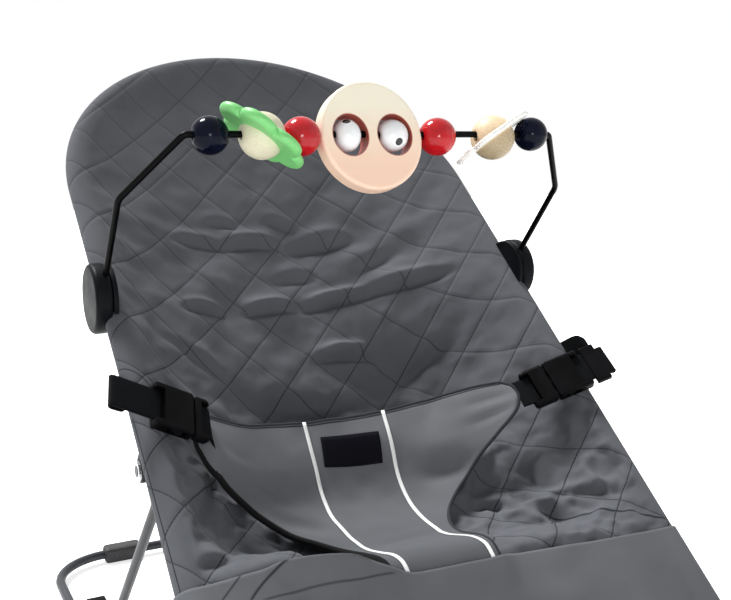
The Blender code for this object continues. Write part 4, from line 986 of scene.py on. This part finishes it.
def swell(cover):
    """Fills the quilting: cloth under pressure, sewn down on its seams, gravity off."""
    places = flat_places(cover)
    sewn = cover.vertex_groups.new(name="sewn")
    for index, (x, s) in enumerate(places):
        under_panel = s < smooth_between(FOOT_TOP, x) + 0.004
        held = puff(x, s) < 0.12 or beyond(x, s)[0] < 0.006 or under_panel
        sewn.add([index], 1.0 if held else 0.0, "REPLACE")
    cloth = cover.modifiers.new("cloth", "CLOTH")
    for setting, value in FILLING.items():
        setattr(cloth.settings, setting, value)
    cloth.settings.vertex_group_mass = sewn.name
    cloth.settings.effector_weights.gravity = 0.0
    cloth.point_cache.frame_start = 1
    cloth.point_cache.frame_end = CLOTH_FRAMES
    start = [vert.co.copy() for vert in cover.data.vertices]
    scene = bpy.context.scene
    for frame_number in range(1, CLOTH_FRAMES + 1):
        scene.frame_set(frame_number)
    graph = bpy.context.evaluated_depsgraph_get()
    full = [vert.co.copy() for vert in cover.evaluated_get(graph).data.vertices]
    cover.modifiers.clear()
    scene.frame_set(1)
    for vert, first, last, (x, s) in zip(cover.data.vertices, start, full, places):
        move = last - first
        if move.length > CLOTH_CAP:
            move *= CLOTH_CAP / move.length
        vert.co = first + move * fullness(x, s)


def crease(cover):
    """Adds folds and unevenness to the filled quilting, away from the seat."""
    for vert, (x, s) in zip(cover.data.vertices, flat_places(cover)):
        inside = beyond(x, s)[0]
        if inside <= 0.004:
            continue
        height = folds(x, s) + ripple(x, s)
        slope = seat_profile(s)[2]
        move = Vector((0.0, -math.sin(slope), math.cos(slope)))
        free = ease(inside, 0.004, 0.026) * ease(s - smooth_between(FOOT_TOP, x), 0.0, 0.012)
        vert.co += move * (height * free)


def quilted_cover():
    """One quilted sheet over the sling and round the tube, its lower end under the foot panel."""
    wide, long = QUILT_WIDE / CELLS, QUILT_LONG / CELLS
    side = TUBE_X + COVER_REACH
    first, last = math.floor((-side - QUILT_X) / wide), math.ceil((side - QUILT_X) / wide)
    low, high = math.floor((COVER_LOW - QUILT_S) / long), math.ceil((side - QUILT_S) / long)
    across = [QUILT_X + wide * k for k in range(first, last + 1)]
    along = [QUILT_S + long * k for k in range(low, high + 1)]

    def trim(bm):
        outside = [vert for vert in bm.verts if beyond(vert.co.x, vert.co.y)[0] < -COVER_REACH - 0.45 * wide]
        bmesh.ops.delete(bm, geom=outside, context="VERTS")
        for vert in bm.verts:
            if vert.is_boundary and vert.co.y > along[0] + 0.001:
                inside, out = beyond(vert.co.x, vert.co.y)
                pull = inside + COVER_REACH
                vert.co.x += out[0] * pull
                vert.co.y += out[1] * pull

    cover = grid("quilted_cover", across, along, cover_spot, QUILTED_COTTON, trim)
    swell(cover)
    subdivide(cover)
    apply_all(cover)
    crease(cover)
    solidify(cover, CLOTH_THICK)
    return apply_all(cover)


# Foot panel: its upper edge along S and how high that stands, the middle of its pocket, and its lowest line
FOOT_TOP = (
    (-0.200, -0.3740), (-0.156, -0.3755), (-0.130, -0.3765), (-0.108, -0.3785), (-0.080, -0.3830),
    (-0.060, -0.3920), (-0.045, -0.3980), (-0.030, -0.3990), (0.000, -0.3998), (0.020, -0.4000), (0.042, -0.3985),
    (0.080, -0.4000), (0.120, -0.4020), (0.160, -0.4035), (0.200, -0.4050),
)
FOOT_EDGE = (
    (-0.185, 0.0110), (-0.170, 0.0145), (-0.150, 0.0200), (-0.130, 0.0285), (-0.108, 0.0310), (-0.082, 0.0290),
    (-0.062, 0.0235), (-0.045, 0.0182), (-0.020, 0.0170), (0.028, 0.0166), (0.044, 0.0105), (0.080, 0.0092),
    (0.185, 0.0088),
)
POCKET_X = -0.108
FOOT_LOW = S_HINGE + 0.0018
FLAT_TOP = -0.3970
FOOT_HALF = 0.1728
HEM_HALF, HEM_RADIUS = 0.1730, 0.0068


def foot_height(x, s):
    """Height of the foot panel: its upper edge stands up in a pocket on the left."""
    top = smooth_between(FOOT_TOP, x)
    share = max(0.0, 1 - (top - s) / 0.060)
    rest = 0.0052 + 0.002 * (1 - (x / TUBE_X) ** 2)
    edge = smooth_between(FOOT_EDGE, x)
    pleat = 0.0022 * bell(x, POCKET_X - 0.034 + (top - s) * 0.9, 0.007) * ease(share, 0.2, 0.7)
    pleat += 0.0020 * bell(x, POCKET_X + 0.036 - (top - s) * 0.8, 0.008) * ease(share, 0.2, 0.7)
    return rest + (edge - rest) * share ** 1.6 - pleat


def foot_spot(x, s):
    inside = TUBE_X - abs(x)
    radius = wrap_radius(x, s) + 0.0019
    if s > S_BEND_END - 0.002 and inside < 0:
        return round_tube(x, s, radius)
    wave = 0.0012 * uneven(x, s, 14.0, 38.0, 2.0) + 0.0005 * uneven(x, s, 40.0, 60.0, 5.0)
    height = foot_height(x, s) + wave * ease(inside, 0.0, 0.03)
    if s < S_BEND_END - 0.002:
        return seat_point(x, s, height)
    return seat_point(x, s, higher(over_tube(inside, radius), height, 0.0001 + 0.006 * ease(inside, 0.0, 0.010)))


def foot_panel():
    """The plain panel from the seam down to its hem on the hinge rod, wrapped round the tube beside."""
    across = [-TUBE_X - 0.0245 + 0.0041 * k for k in range(6)] + steps(-TUBE_X, -FOOT_HALF, 0.003)
    across += steps(-FOOT_HALF, FOOT_HALF, 0.0040)[1:] + [-x for x in reversed(across[:-1])]
    across = sorted(set(round(x, 6) for x in across))
    along = steps(FOOT_LOW, S_BEND_END - 0.003, 0.0045) + steps(S_BEND_END, FLAT_TOP, 0.0040)

    def trim(bm):
        beside = [v for v in bm.verts if v.co.y < S_BEND_END - 0.001 and abs(v.co.x) > FOOT_HALF + 0.0005]
        bmesh.ops.delete(bm, geom=beside, context="VERTS")
        for vert in bm.verts:
            reach = smooth_between(FOOT_TOP, vert.co.x) - FLAT_TOP
            vert.co.y += reach * ease(vert.co.y, -0.500, FLAT_TOP) ** 1.5

    return cloth_sheet("foot_panel_cloth", across, along, foot_spot, PLAIN_COTTON, CLOTH_THICK, True, shape=trim)


def foot_hem():
    """The panel's lower edge turned round the hinge rod, with a slight twist of its cloth."""
    def spot(x, angle):
        radius = HEM_RADIUS + 0.0002 * math.sin(x * 260.0 + angle)
        home = Vector((x, HINGE.y, HINGE.z))
        return home + Vector((0, math.cos(angle), math.sin(angle))) * radius

    across, angles = steps(-HEM_HALF, HEM_HALF, 0.006), steps(-0.4, 2 * math.pi - 1.2, 0.22)
    return cloth_sheet("foot_hem_cloth", across, angles, spot, PLAIN_COTTON, CLOTH_THICK, True)


# Crotch panel, along the seat: S, its left and right edge, the height of its middle, and its two ribbons;
# and its upper edge
LEFT_EDGE, RIGHT_EDGE, MIDDLE, LEFT_RIBBON, RIGHT_RIBBON = range(1, 6)
PANEL_ROWS = (
    (-0.2350, -0.1340, 0.1230, -0.0450, -0.0480, 0.0245),
    (-0.2440, -0.1430, 0.1300, -0.0470, -0.0483, 0.0235),
    (-0.2560, -0.1490, 0.1306, -0.0500, -0.0490, 0.0225),
    (-0.2680, -0.1480, 0.1245, -0.0540, -0.0490, 0.0220),
    (-0.2780, -0.1455, 0.1080, -0.0570, -0.0492, 0.0213),
    (-0.2890, -0.1380, 0.0895, -0.0595, -0.0495, 0.0207),
    (-0.3010, -0.1225, 0.0745, -0.0600, -0.0498, 0.0203),
    (-0.3140, -0.1060, 0.0580, -0.0565, -0.0500, 0.0203),
    (-0.3280, -0.0900, 0.0440, -0.0490, -0.0487, 0.0200),
    (-0.3430, -0.0710, 0.0340, -0.0385, -0.0484, 0.0190),
    (-0.3580, -0.0590, 0.0298, -0.0225, -0.0480, 0.0180),
    (-0.3680, -0.0560, 0.0280, -0.0080, -0.0470, 0.0185),
    (-0.3780, -0.0560, 0.0278, 0.0060, -0.0460, 0.0195),
    (-0.3870, -0.0556, 0.0280, 0.0136, -0.0455, 0.0212),
    (-0.3952, -0.0553, 0.0280, 0.0150, -0.0450, 0.0215),
    (-0.4035, -0.0553, 0.0280, 0.0138, -0.0448, 0.0216),
)
PANEL_EDGE = (
    (-0.150, -0.2345), (-0.134, -0.2345), (-0.122, -0.2362), (-0.110, -0.2376), (-0.097, -0.2366), (-0.077, -0.2336),
    (-0.050, -0.2318), (-0.015, -0.2308), (0.025, -0.2296), (0.076, -0.2302), (0.105, -0.2335), (0.123, -0.2384),
)
PANEL_STEP, PANEL_THICK = 0.0030, 0.0024
RIBBON_THICK = 0.0006
LABEL_MIDDLE = (-0.0130, -0.2597)


def panel_row(column, s):
    return smooth_between([(row[0], row[column]) for row in PANEL_ROWS], s)


def panel_sides(s):
    return panel_row(LEFT_EDGE, s), panel_row(RIGHT_EDGE, s)


def panel_share(x, s):
    """How far across the panel a place lies, from 0 at its left edge to 1 at its right."""
    left, right = panel_sides(s)
    return (x - left) / (right - left)


def panel_x(share, s):
    left, right = panel_sides(s)
    return left + (right - left) * share


def panel_height(x, s):
    middle = panel_row(MIDDLE, s)
    share = min(1.0, abs(x + 0.004) / 0.136)
    edge = max(-0.006, middle)
    low = 0.0065 * ease(-x, 0.04, 0.11) * ease(-s, 0.270, 0.300) * (1 - ease(-s, 0.350, 0.380))
    return edge + (middle - edge) * (1 - share ** 2.2) - low


def panel_folds(x, s):
    """Soft hollows and bulges of the panel, and the small folds at its two ends and on its stem."""
    right_end = 0.0022 * (bell(s, -0.249, 0.0030) + bell(s, -0.263, 0.0032)) * bell(x, 0.108, 0.018)
    left_end = 0.0020 * bell(s + 0.35 * (x + 0.118), -0.262, 0.005) * bell(x, -0.118, 0.014)
    left_end += 0.0016 * bell(s + 0.6 * (x + 0.105), -0.282, 0.006) * bell(x, -0.105, 0.020)
    bulge = 0.0040 * bell(x, 0.062, 0.020) * bell(s, -0.270, 0.014)
    bulge -= 0.0040 * bell(x, 0.066, 0.026) * bell(s, -0.291, 0.008)
    bulge -= 0.0022 * bell(x, -0.078, 0.020) * bell(s + 0.4 * (x + 0.078), -0.318, 0.007)
    bulge += 0.0018 * uneven(x, s, 24.0, 34.0, 7.0) + 0.0008 * uneven(x, s, 60.0, 60.0, 3.0)
    stem = 0.0020 * bell(s, -0.352, 0.004) * bell(x, -0.010, 0.035)
    stem -= 0.0024 * bell(x - 0.4 * (s + 0.37), -0.0380, 0.0035) * bell(s, -0.369, 0.008)
    return bulge - right_end - left_end - stem


def panel_spot(share, v, above=0.0):
    """A place on the panel, at a share of its width from the left and a distance along the seat."""
    s = min(PANEL_TOP, max(PANEL_LOW, v))
    x = panel_x(share, s)
    bow = (smooth_between(PANEL_EDGE, x) - PANEL_TOP) * max(0.0, 1 - (PANEL_TOP - s) / 0.033)
    return seat_point(x, s + bow, panel_height(x, s + bow * 0.3) + panel_folds(x, s) + above)


def crotch_panel():
    return cloth_sheet(
        "crotch_panel_cloth", steps(0.0, 1.0, 0.016), steps(PANEL_LOW, PANEL_TOP, PANEL_STEP), panel_spot,
        PANEL_COTTON, PANEL_THICK, flat=lambda share, s: (panel_x(share, s), s),
    )


def panel_binding():
    """The narrow rolled edge along the panel's top, its right side and the upper end of its left."""
    along = steps(PANEL_LOW, PANEL_TOP, PANEL_STEP)
    places = [(0.0, v) for v in along if v > -0.250]
    places += [(share, PANEL_TOP) for share in steps(0.0, 1.0, 0.016)[1:]]
    places += [(1.0, v) for v in reversed(along[:-1])]
    return wire("panel_binding", [panel_spot(*place, -0.0008) for place in places], 0.0014, BINDING, 3)


def painted_shade_strip():
    """A thick near-black cord under the left side of the panel, drawn as the edge of the left leg opening: its
    darkness is painted shade for the gap under the panel's edge.
    """
    points = [panel_spot(0.0, v, -0.0024) for v in steps(PANEL_LOW, -0.248, PANEL_STEP)]
    return wire("painted_shade_strip", points, 0.0025, SHADE_STRIP_CLOTH, 3)


def ribbon_piece(name, column):
    """A white ribbon sewn down along the panel."""
    def spot(across, s):
        return panel_spot(panel_share(panel_row(column, s) + across, s), s, 0.0012)

    across = [-0.0015, -0.0008, 0.0, 0.0008, 0.0015]
    return cloth_sheet(name, across, steps(PANEL_LOW, PANEL_TOP, PANEL_STEP), spot, RIBBON, RIBBON_THICK)


def label():
    """The bare dark patch, sewn on a little askew."""
    def spot(u, v):
        x, s = LABEL_MIDDLE[0] + u + 0.14 * v, LABEL_MIDDLE[1] + v - 0.052 * u
        return panel_spot(panel_share(x, s), s, 0.0011)

    across, along = steps(-0.0258, 0.0258, 0.0032), steps(-0.0110, 0.0110, 0.0031)
    return cloth_sheet("label_cloth_patch", across, along, spot, LABEL, RIBBON_THICK)


# Straps, with the places of their loops as outward, height and S

LEFT_STRAP = {
    "side": -1, "station": -0.2355, "slant": math.radians(13.0), "tilt": math.radians(24.0), "height": 0.0188,
    "start": 0.0055, "plug": 0.0135, "reach": -0.0270, "tab": -0.1372,
    "loop": (
        (-0.009, -0.0118, -0.2000), (0.002, -0.0119, -0.2010), (0.0088, -0.0082, -0.2040),
        (0.0112, 0.0005, -0.2100), (0.0125, 0.0085, -0.2190), (0.0168, 0.0165, -0.2270),
    ),
}
RIGHT_STRAP = {
    "side": 1, "station": -0.2555, "slant": math.radians(2.0), "tilt": math.radians(23.0), "height": 0.0172,
    "start": -0.0020, "plug": 0.0220, "reach": -0.0246, "tab": 0.1306,
    "loop": (
        (-0.009, -0.0118, -0.2220), (0.002, -0.0119, -0.2220), (0.0110, -0.0095, -0.2220), (0.0165, -0.0010, -0.2240),
        (0.0190, 0.0080, -0.2270), (0.0197, 0.0142, -0.2310), (0.0217, 0.0160, -0.2370), (0.0238, 0.0130, -0.2455),
    ),
}
WEBBING_HALF, WEBBING_THICK = 0.013, 0.0015
SOCKET_LENGTH = 0.032


def strap_home(strap):
    side = strap["side"]
    turn = math.pi + strap["slant"] if side > 0 else -strap["slant"]
    return (
        seat_frame(side * TUBE_X, strap["station"], strap["height"])
        @ Matrix.Rotation(turn, 4, "Z") @ Matrix.Rotation(strap["tilt"], 4, "Y")
    )


def band(name, pairs, fine):
    """Webbing through pairs of points, smooth along its length, with rounded edges."""
    lengths = [0.0]
    for before, after in zip(pairs, pairs[1:]):
        lengths.append(lengths[-1] + ((after[0] + after[1]) / 2 - (before[0] + before[1]) / 2).length)

    def rail(side, at):
        return Vector([
            smooth_between([(length, pair[side][axis]) for length, pair in zip(lengths, pairs)], at)
            for axis in range(3)
        ])

    def spot(u, v):
        return rail(0, v).lerp(rail(1, v), u / (2 * WEBBING_HALF) + 0.5)

    made = grid(name, steps(-WEBBING_HALF, WEBBING_HALF, 0.0026), steps(0.0, lengths[-1], fine), spot, WEBBING)
    solidify(made, WEBBING_THICK, 0.0)
    round_edges(made, 0.0005, 2)
    return apply_all(made)


def strap_webbing(name, strap):
    """The strap: sewn under the tube, round it and folded back over itself into the buckle."""
    home = strap_home(strap)
    side, outer = strap["side"], strap["reach"]
    pairs = []
    for outward, height, s in strap["loop"]:
        x = side * (TUBE_X + outward)
        pairs.append([seat_point(x, s + half, height) for half in (WEBBING_HALF, -WEBBING_HALF)])
    fold = (
        (outer + 0.0020, -0.0034), (outer, -0.0020), (outer + 0.0003, -0.0006), (outer + 0.0030, 0.0),
        (strap["start"] + 0.007, 0.0),
    )
    for x, z in fold:
        pairs.append([home @ Vector((x, side * half, z)) for half in (-WEBBING_HALF, WEBBING_HALF)])
    return band(name, pairs, 0.0015)


def panel_webbing(name, strap):
    """Webbing from the plug to the panel's end."""
    home = strap_home(strap)
    station = PANEL_ROWS[2][0]
    plug_end = strap["start"] + SOCKET_LENGTH + 0.0003 + strap["plug"]
    half = WEBBING_HALF - 0.0005
    pairs = [
        [home @ Vector((x, -half, 0.0)), home @ Vector((x, half, 0.0))]
        for x in (plug_end - 0.0070, plug_end + 0.0005)
    ]
    x = strap["tab"]
    ends = [seat_point(x, station + sign * half, panel_height(x, station) - 0.0015) for sign in (1, -1)]
    pairs.append(ends[::strap["side"]])
    return band(name, pairs, 0.002)


# Frame wires

BASE_WIRE, LEG_WIRE, TOY_WIRE = 0.005, 0.004, 0.0025
RAIL_Z = 0.009
FLOOR_FRONT, FLOOR_REAR, FLOOR_CORNER = -0.395, 0.385, 0.060
BLOCK_LENGTH = 0.013
LEG_PIVOT = (-0.260, -0.030)
LEG_FOOT_Z, LEG_LEAN = 0.0215, math.radians(52.0)
LEG_FOOT_X, LEG_TOP_X, LEG_END_X = 0.182, 0.166, 0.1905
TOY_FOOT_X, TOY_FOOT_N = 0.1900, 0.0225


def mirrored(right):
    """A wire's corners on both sides, from the left end, given those of its right side."""
    return [(-x, *rest) for x, *rest in reversed(right)] + right


def base_wire():
    """The floor wire: out of a hinge block, round the nose, along the floor and across the back."""
    front = FLOOR_FRONT + BASE_WIRE
    nose = (HINGE.z - RAIL_Z) / 2
    end = HINGE.y - BLOCK_LENGTH - 0.0006
    corners = [(TUBE_X, FLOOR_REAR, RAIL_Z), (TUBE_X, front, RAIL_Z), (TUBE_X, front, HINGE.z), (TUBE_X, end, HINGE.z)]
    path = rounded(mirrored(corners), [nose, nose, FLOOR_CORNER, FLOOR_CORNER, nose, nose])
    return wire("floor_wire", path, BASE_WIRE, FRAME_PAINT)


def prop_leg():
    """The leg: a U on the racks, its ends turned out through the lugs."""
    top = seat_point(0.0, *LEG_PIVOT)
    foot_y = top.y + (top.z - LEG_FOOT_Z) / math.tan(LEG_LEAN)
    corners = [(LEG_FOOT_X, foot_y, LEG_FOOT_Z), (LEG_TOP_X, top.y, top.z), (LEG_END_X, top.y, top.z)]
    return wire("prop_leg_wire", rounded(mirrored(corners), [0.007, 0.012, 0.012, 0.007]), LEG_WIRE, FRAME_PAINT)


def toy_wire():
    """The bar: its feet come down inside the clamp hubs and bend out into them."""
    right = [
        (0.1525, TOY_HEIGHT), (TOY_FOOT_X, 0.102), (TOY_FOOT_X, TOY_FOOT_N), (TOY_FOOT_X + 0.0076, TOY_FOOT_N),
    ]
    corners = [seat_point(x, TOY_STATION, n) for x, n in mirrored(right)]
    path = rounded(corners, [0.003, 0.014, 0.006, 0.006, 0.014, 0.003])
    return wire("toy_bar_wire", path, TOY_WIRE, TOY_PAINT)


def even_shading(thing):
    """Sharp edges after a cut, and shading that keeps flat faces flat."""
    thing.data.shade_smooth()
    thing.data.set_sharp_from_angle(angle=math.radians(35.0))
    step = thing.modifiers.new("shading", "WEIGHTED_NORMAL")
    step.keep_sharp = True
    step.weight = 100
    return apply_all(thing)


def rounded_disc(radius, low, high, edge, bore):
    """The profile of a disc with a rounded rim, down its outer side and back up its bore."""
    profile = []
    for middle, first, last in ((high - edge, 90.0, 0.0), (low + edge, 0.0, -90.0)):
        for k in range(7):
            angle = math.radians(first + (last - first) * k / 6)
            profile.append((radius - edge + edge * math.cos(angle), middle + edge * math.sin(angle)))
    return profile + [(bore, low), (bore, high)]


JAW_RADIUS, JAW_INNER, JAW_OUTER = 0.0262, TUBE_X - 0.0022, 0.1866
HUB_RADIUS, HUB_INNER, HUB_OUTER = 0.0272, 0.1868, 0.1998


def clamp(side, sign):
    """The clamp: a jaw on the covered tube, and the thick hub that carries the bar's foot."""
    def disc(name, radius, inner, outer, edge):
        low, high = sorted((sign * inner, sign * outer))
        home = seat_frame(0.0, TOY_STATION) @ ALONG_X
        return turned(name + side, rounded_disc(radius, low, high, edge, 0.0002), home, CLAMP, 96)

    jaw = disc("clamp_jaw_body_", JAW_RADIUS, JAW_INNER, JAW_OUTER, 0.0008)
    cut(jaw, rod("bore", SLEEVE + 0.0008, -0.05, 0.05, seat_frame(sign * TUBE_X, TOY_STATION) @ ALONG_Y))
    even_shading(jaw)
    return jaw, disc("clamp_hub_body_", HUB_RADIUS, HUB_INNER, HUB_OUTER, 0.0036)


# Toys

BEAD_RINGS = 28
RIM, RIM_ROUND = 0.0012, 0.0008
PETAL_BORE, PETAL_REACH, LOBE = 0.0158, 0.0318, 0.0040
FLOWER_THICK, PALE_THICK = 0.0076, 0.0040
FACE_RADIUS, FACE_HALF = 0.0415, 0.0070


def toy_home(x, sag=0.0):
    return Matrix.Translation(on_wire(x, sag)) @ ALONG_X


def bead(name, x, radius, half, material, sag):
    """A drilled ball of its own half width, with softened rims where the wire enters, hanging on its wire."""
    flat = half - RIM
    start = math.acos(flat / half)
    rim = radius * math.sin(start) - RIM_ROUND
    profile = [(rim, flat)]
    for k in range(BEAD_RINGS + 1):
        angle = start + 0.04 + (math.pi - 2 * start - 0.08) * k / BEAD_RINGS
        profile.append((radius * math.sin(angle), half * math.cos(angle)))
    profile += [(rim, -flat), (WIRE_BORE, -flat), (WIRE_BORE, flat)]
    return turned(name, profile, toy_home(x, sag), material)


def petal_disc(name, x, normal, thickness, material, sag, roll=0.0):
    """A disc of round petals, pillowed between its rims, fixed round a ball."""
    half = thickness / 2
    face = [(0.028, half * 0.97), (0.023, half * 0.90), (PETAL_BORE, half * 0.76)]
    section = []
    for k in range(9):
        angle = math.radians(90 - 180 * k / 8)
        section.append((PETAL_REACH - half + half * math.cos(angle), half * math.sin(angle)))
    section += [(radius, -height) for radius, height in face] + face[::-1]
    made = turned(name, section, Matrix.Identity(4), material, 144)
    for vert in made.data.vertices:
        radius = math.hypot(vert.co.x, vert.co.y)
        angle = math.atan2(vert.co.y, vert.co.x) + roll
        lobe = LOBE * (2 * abs(math.cos(3 * angle)) ** 0.7 - 1)
        grown = 1 + lobe * ease(radius, 0.018, PETAL_REACH - 0.002) / radius
        vert.co.x *= grown
        vert.co.y *= grown
    turn = normal.normalized().to_track_quat("Z", "Y").to_matrix().to_4x4()
    made.data.transform(Matrix.Translation(on_wire(x, sag)) @ turn)
    return made


def weld(thing):
    """Closes the disc's middle, where its profile comes down to the axis."""
    bm = bmesh.new()
    bm.from_mesh(thing.data)
    bmesh.ops.remove_doubles(bm, verts=bm.verts, dist=0.0002)
    bmesh.ops.recalc_face_normals(bm, faces=bm.faces)
    bm.to_mesh(thing.data)
    bm.free()


def face_disc():
    """The round face with two eye holes, threaded on the bar edgewise."""
    home = Matrix.Translation(FACE_MIDDLE) @ Matrix.Rotation(math.pi / 2 - FACE_LEAN, 4, "X")
    disc = turned("face_body", rounded_disc(FACE_RADIUS, -FACE_HALF, FACE_HALF, 0.0028, 0.00005), home, FACE, 128)
    weld(disc)
    cutters = []
    for sign in (-1, 1):
        oval = Matrix.Translation((sign * EYE_HOLE_X, 0, 0)) @ Matrix.Diagonal((EYE_OVAL, 1.0, 1.0, 1.0))
        cutters.append(rod("hole", EYE_HOLE, -0.03, 0.03, home @ oval, 72))
    cut(disc, *cutters, rod("bore", WIRE_BORE, -0.06, 0.06, toy_home(FACE_X), 24))
    round_edges(disc, 0.0009, 3, 50.0)
    return even_shading(disc)


def toys():
    for name, body, x, radius, sag, material in (
        ("blue_bead_left", "blue_bead_left", -0.1345, 0.0135, 0.0008, NAVY),
        ("red_bead_left", "red_bead_left", -0.0665, 0.0143, 0.0016, RED),
        ("red_bead_right", "red_bead_right", 0.0470, 0.0145, 0.0019, RED),
        ("blue_bead_right", "blue_bead_right", 0.1345, 0.0135, 0.0, NAVY),
        ("ball_left", "flower_ball", FLOWER_X, 0.0169, FLOWER_SAG, CREAM),
        ("ball_right", "pale_ball", PALE_X, 0.0173, PALE_SAG, NATURAL),
    ):
        stand_for(bead(name + "_turned", x, radius, radius, material, sag), body, name)
    for name, x, half, pupil in (
        ("eye_left", -0.0305, 0.0106, (-0.0022, -0.0050, 0.0106)),
        ("eye_right", 0.0074, 0.0124, (0.00020, -0.0112, -0.0042)),
    ):
        white = eye_white(name + "_white", on_wire(x, EYE_SAG) + Vector(pupil))
        stand_for(bead(name + "_turned", x, EYE_RADIUS, half, white, EYE_SAG), name, name)
    flower = petal_disc("flower_petals", FLOWER_X, FLOWER_NORMAL, FLOWER_THICK, GREEN, FLOWER_SAG, 0.35)
    stand_for(flower, "flower_ball", "flower_disc")
    pale = petal_disc("pale_petals", PALE_X, PALE_NORMAL, PALE_THICK, PALE, PALE_SAG)
    stand_for(pale, "pale_ball", "pale_disc")
    stand_for(face_disc(), "face", "face_disc")


# Everything together

BY_SLOT = {
    "frame_paint": FRAME_PAINT, "bright_steel": STEEL, "foot_rubber": RUBBER, "black_plastic": PLASTIC,
    "clamp_plastic": CLAMP, "toy_wire_paint": TOY_PAINT,
}


def dress_nodes():
    """Every CAD node whose kind has a finish in BY_SLOT gets that finish."""
    for node, thing in frame["nodes"].items():
        finish = BY_SLOT.get(SLOTS[node])
        if finish is not None:
            thing.data.materials.clear()
            thing.data.materials.append(finish)


def cloth_goods():
    cover = stand_for(quilted_cover(), "seat", "seat_cover", "cover_sleeve")
    panel = stand_for(foot_panel(), "seat", "foot_panel")
    hem = stand_for(foot_hem(), "seat", "foot_hem")
    crotch = stand_for(crotch_panel(), "seat", "crotch_panel")
    edge = stand_for(panel_binding(), "seat", slot_of="crotch_panel")
    # The near-black cord under the panel's left edge is painted shade.
    shade_strip = stand_for(painted_shade_strip(), "seat", slot_of="crotch_panel")
    ribbons = [
        stand_for(ribbon_piece("ribbon_left", LEFT_RIBBON), "seat", "stripe_left"),
        stand_for(ribbon_piece("ribbon_right", RIGHT_RIBBON), "seat", "stripe_right"),
    ]
    patch = stand_for(label(), "seat", "label_patch")
    for side, strap in (("left", LEFT_STRAP), ("right", RIGHT_STRAP)):
        stand_for(strap_webbing("strap_" + side, strap), "seat", "webbing_" + side)
        stand_for(panel_webbing("panel_strap_" + side, strap), "seat", "panel_webbing_" + side)


def hard_goods():
    stand_for(base_wire(), "base", "base_frame")
    stand_for(prop_leg(), "leg", "support_leg")
    stand_for(toy_wire(), "toy_arch", "toy_wire")
    for side, sign in (("left", -1), ("right", 1)):
        jaw, hub = clamp(side, sign)
        stand_for(jaw, "seat", "clamp_jaw_" + side)
        stand_for(hub, "toy_arch", "clamp_hub_" + side)


def camera():
    """The camera that was fitted to the photograph."""
    data = bpy.data.cameras.new("camera")
    data.lens = 49.25
    data.sensor_width = 36.0
    data.clip_start = 0.01
    right = Vector((0.8894, -0.4570, 0.0))
    up = Vector((0.0744, 0.1448, 0.9867))
    back = Vector((-0.4509, -0.8776, 0.1628))
    turn = Matrix((right, up, back)).transposed()
    thing = add("camera", data)
    thing.matrix_world = Matrix.Translation((-0.3563, -0.7234, 0.4869)) @ turn.to_4x4()
    bpy.context.scene.camera = thing


def sun_lamp(name, toward, angle, strength):
    data = bpy.data.lights.new(name, "SUN")
    data.angle = math.radians(angle)
    data.energy = strength
    thing = add(name, data)
    thing.rotation_euler = Vector(toward).to_track_quat("Z", "Y").to_euler()


def area_lamp(name, place, target, size, power):
    data = bpy.data.lights.new(name, "AREA")
    data.shape = "DISK"
    data.size = size
    data.energy = power
    way = Vector(target) - Vector(place)
    thing = add(name, data)
    thing.matrix_world = Matrix.Translation(place) @ way.to_track_quat("-Z", "Y").to_matrix().to_4x4()


FLOOR_GLOW = 0.68
WORLD_LEVEL = 0.26


def shown(net):
    """1 for rays that show the surround: seen directly, mirrored or through something clear."""
    path = net.node("ShaderNodeLightPath").outputs
    total = path["Is Camera Ray"]
    for name in ("Is Glossy Ray", "Is Transmission Ray"):
        total = net.node("ShaderNodeMath", {0: total, 1: path[name]}, operation="ADD", use_clamp=True).outputs[0]
    return total


def studio():
    """Pale floor, soft lamps and a white surround."""
    bm = bmesh.new()
    bmesh.ops.create_grid(bm, x_segments=8, y_segments=8, size=6.0)
    look = Look("floor_paper", (0.92, 0.92, 0.92), 0.9, Specular_IOR_Level=0.1)
    look.colour(look.mix(look.noise(look.place(), 3.0), (0.91, 0.91, 0.91), (0.93, 0.93, 0.93)))
    white = look.math("MULTIPLY", shown(look), FLOOR_GLOW)
    bright = look.node("ShaderNodeEmission", {"Color": (1.0, 1.0, 1.0), "Strength": white})
    both = look.node("ShaderNodeAddShader", {0: look.shader.outputs[0], 1: bright.outputs[0]})
    look.feed(look.tree.nodes["Material Output"].inputs["Surface"], both.outputs[0])
    from_bmesh("floor", bm, look.material)

    world = bpy.data.worlds.new("surround")
    world.use_nodes = True
    bpy.context.scene.world = world
    sky = Nodes(world.node_tree)
    background = sky.tree.nodes["Background"].inputs
    sky.feed(background["Strength"], sky.span(shown(sky), 0.0, 1.0, WORLD_LEVEL, 1.0))
    sky.feed(background["Color"], (1.0, 1.0, 1.0))
    sun_lamp("overhead", toward=(-0.22, 0.50, 0.84), angle=16.0, strength=4.8)
    area_lamp("fill", place=(1.3, -1.2, 1.1), target=(0.0, 0.0, 0.3), size=1.4, power=2.0)
    area_lamp("window", place=(-0.60, -1.90, 0.62), target=(0.0, 0.0, 0.45), size=0.40, power=9.0)


def build():
    dress_nodes()
    hard_goods()
    toys()
    cloth_goods()
    camera()
    studio()
    bpy.context.scene.view_settings.view_transform = "Standard"


build()
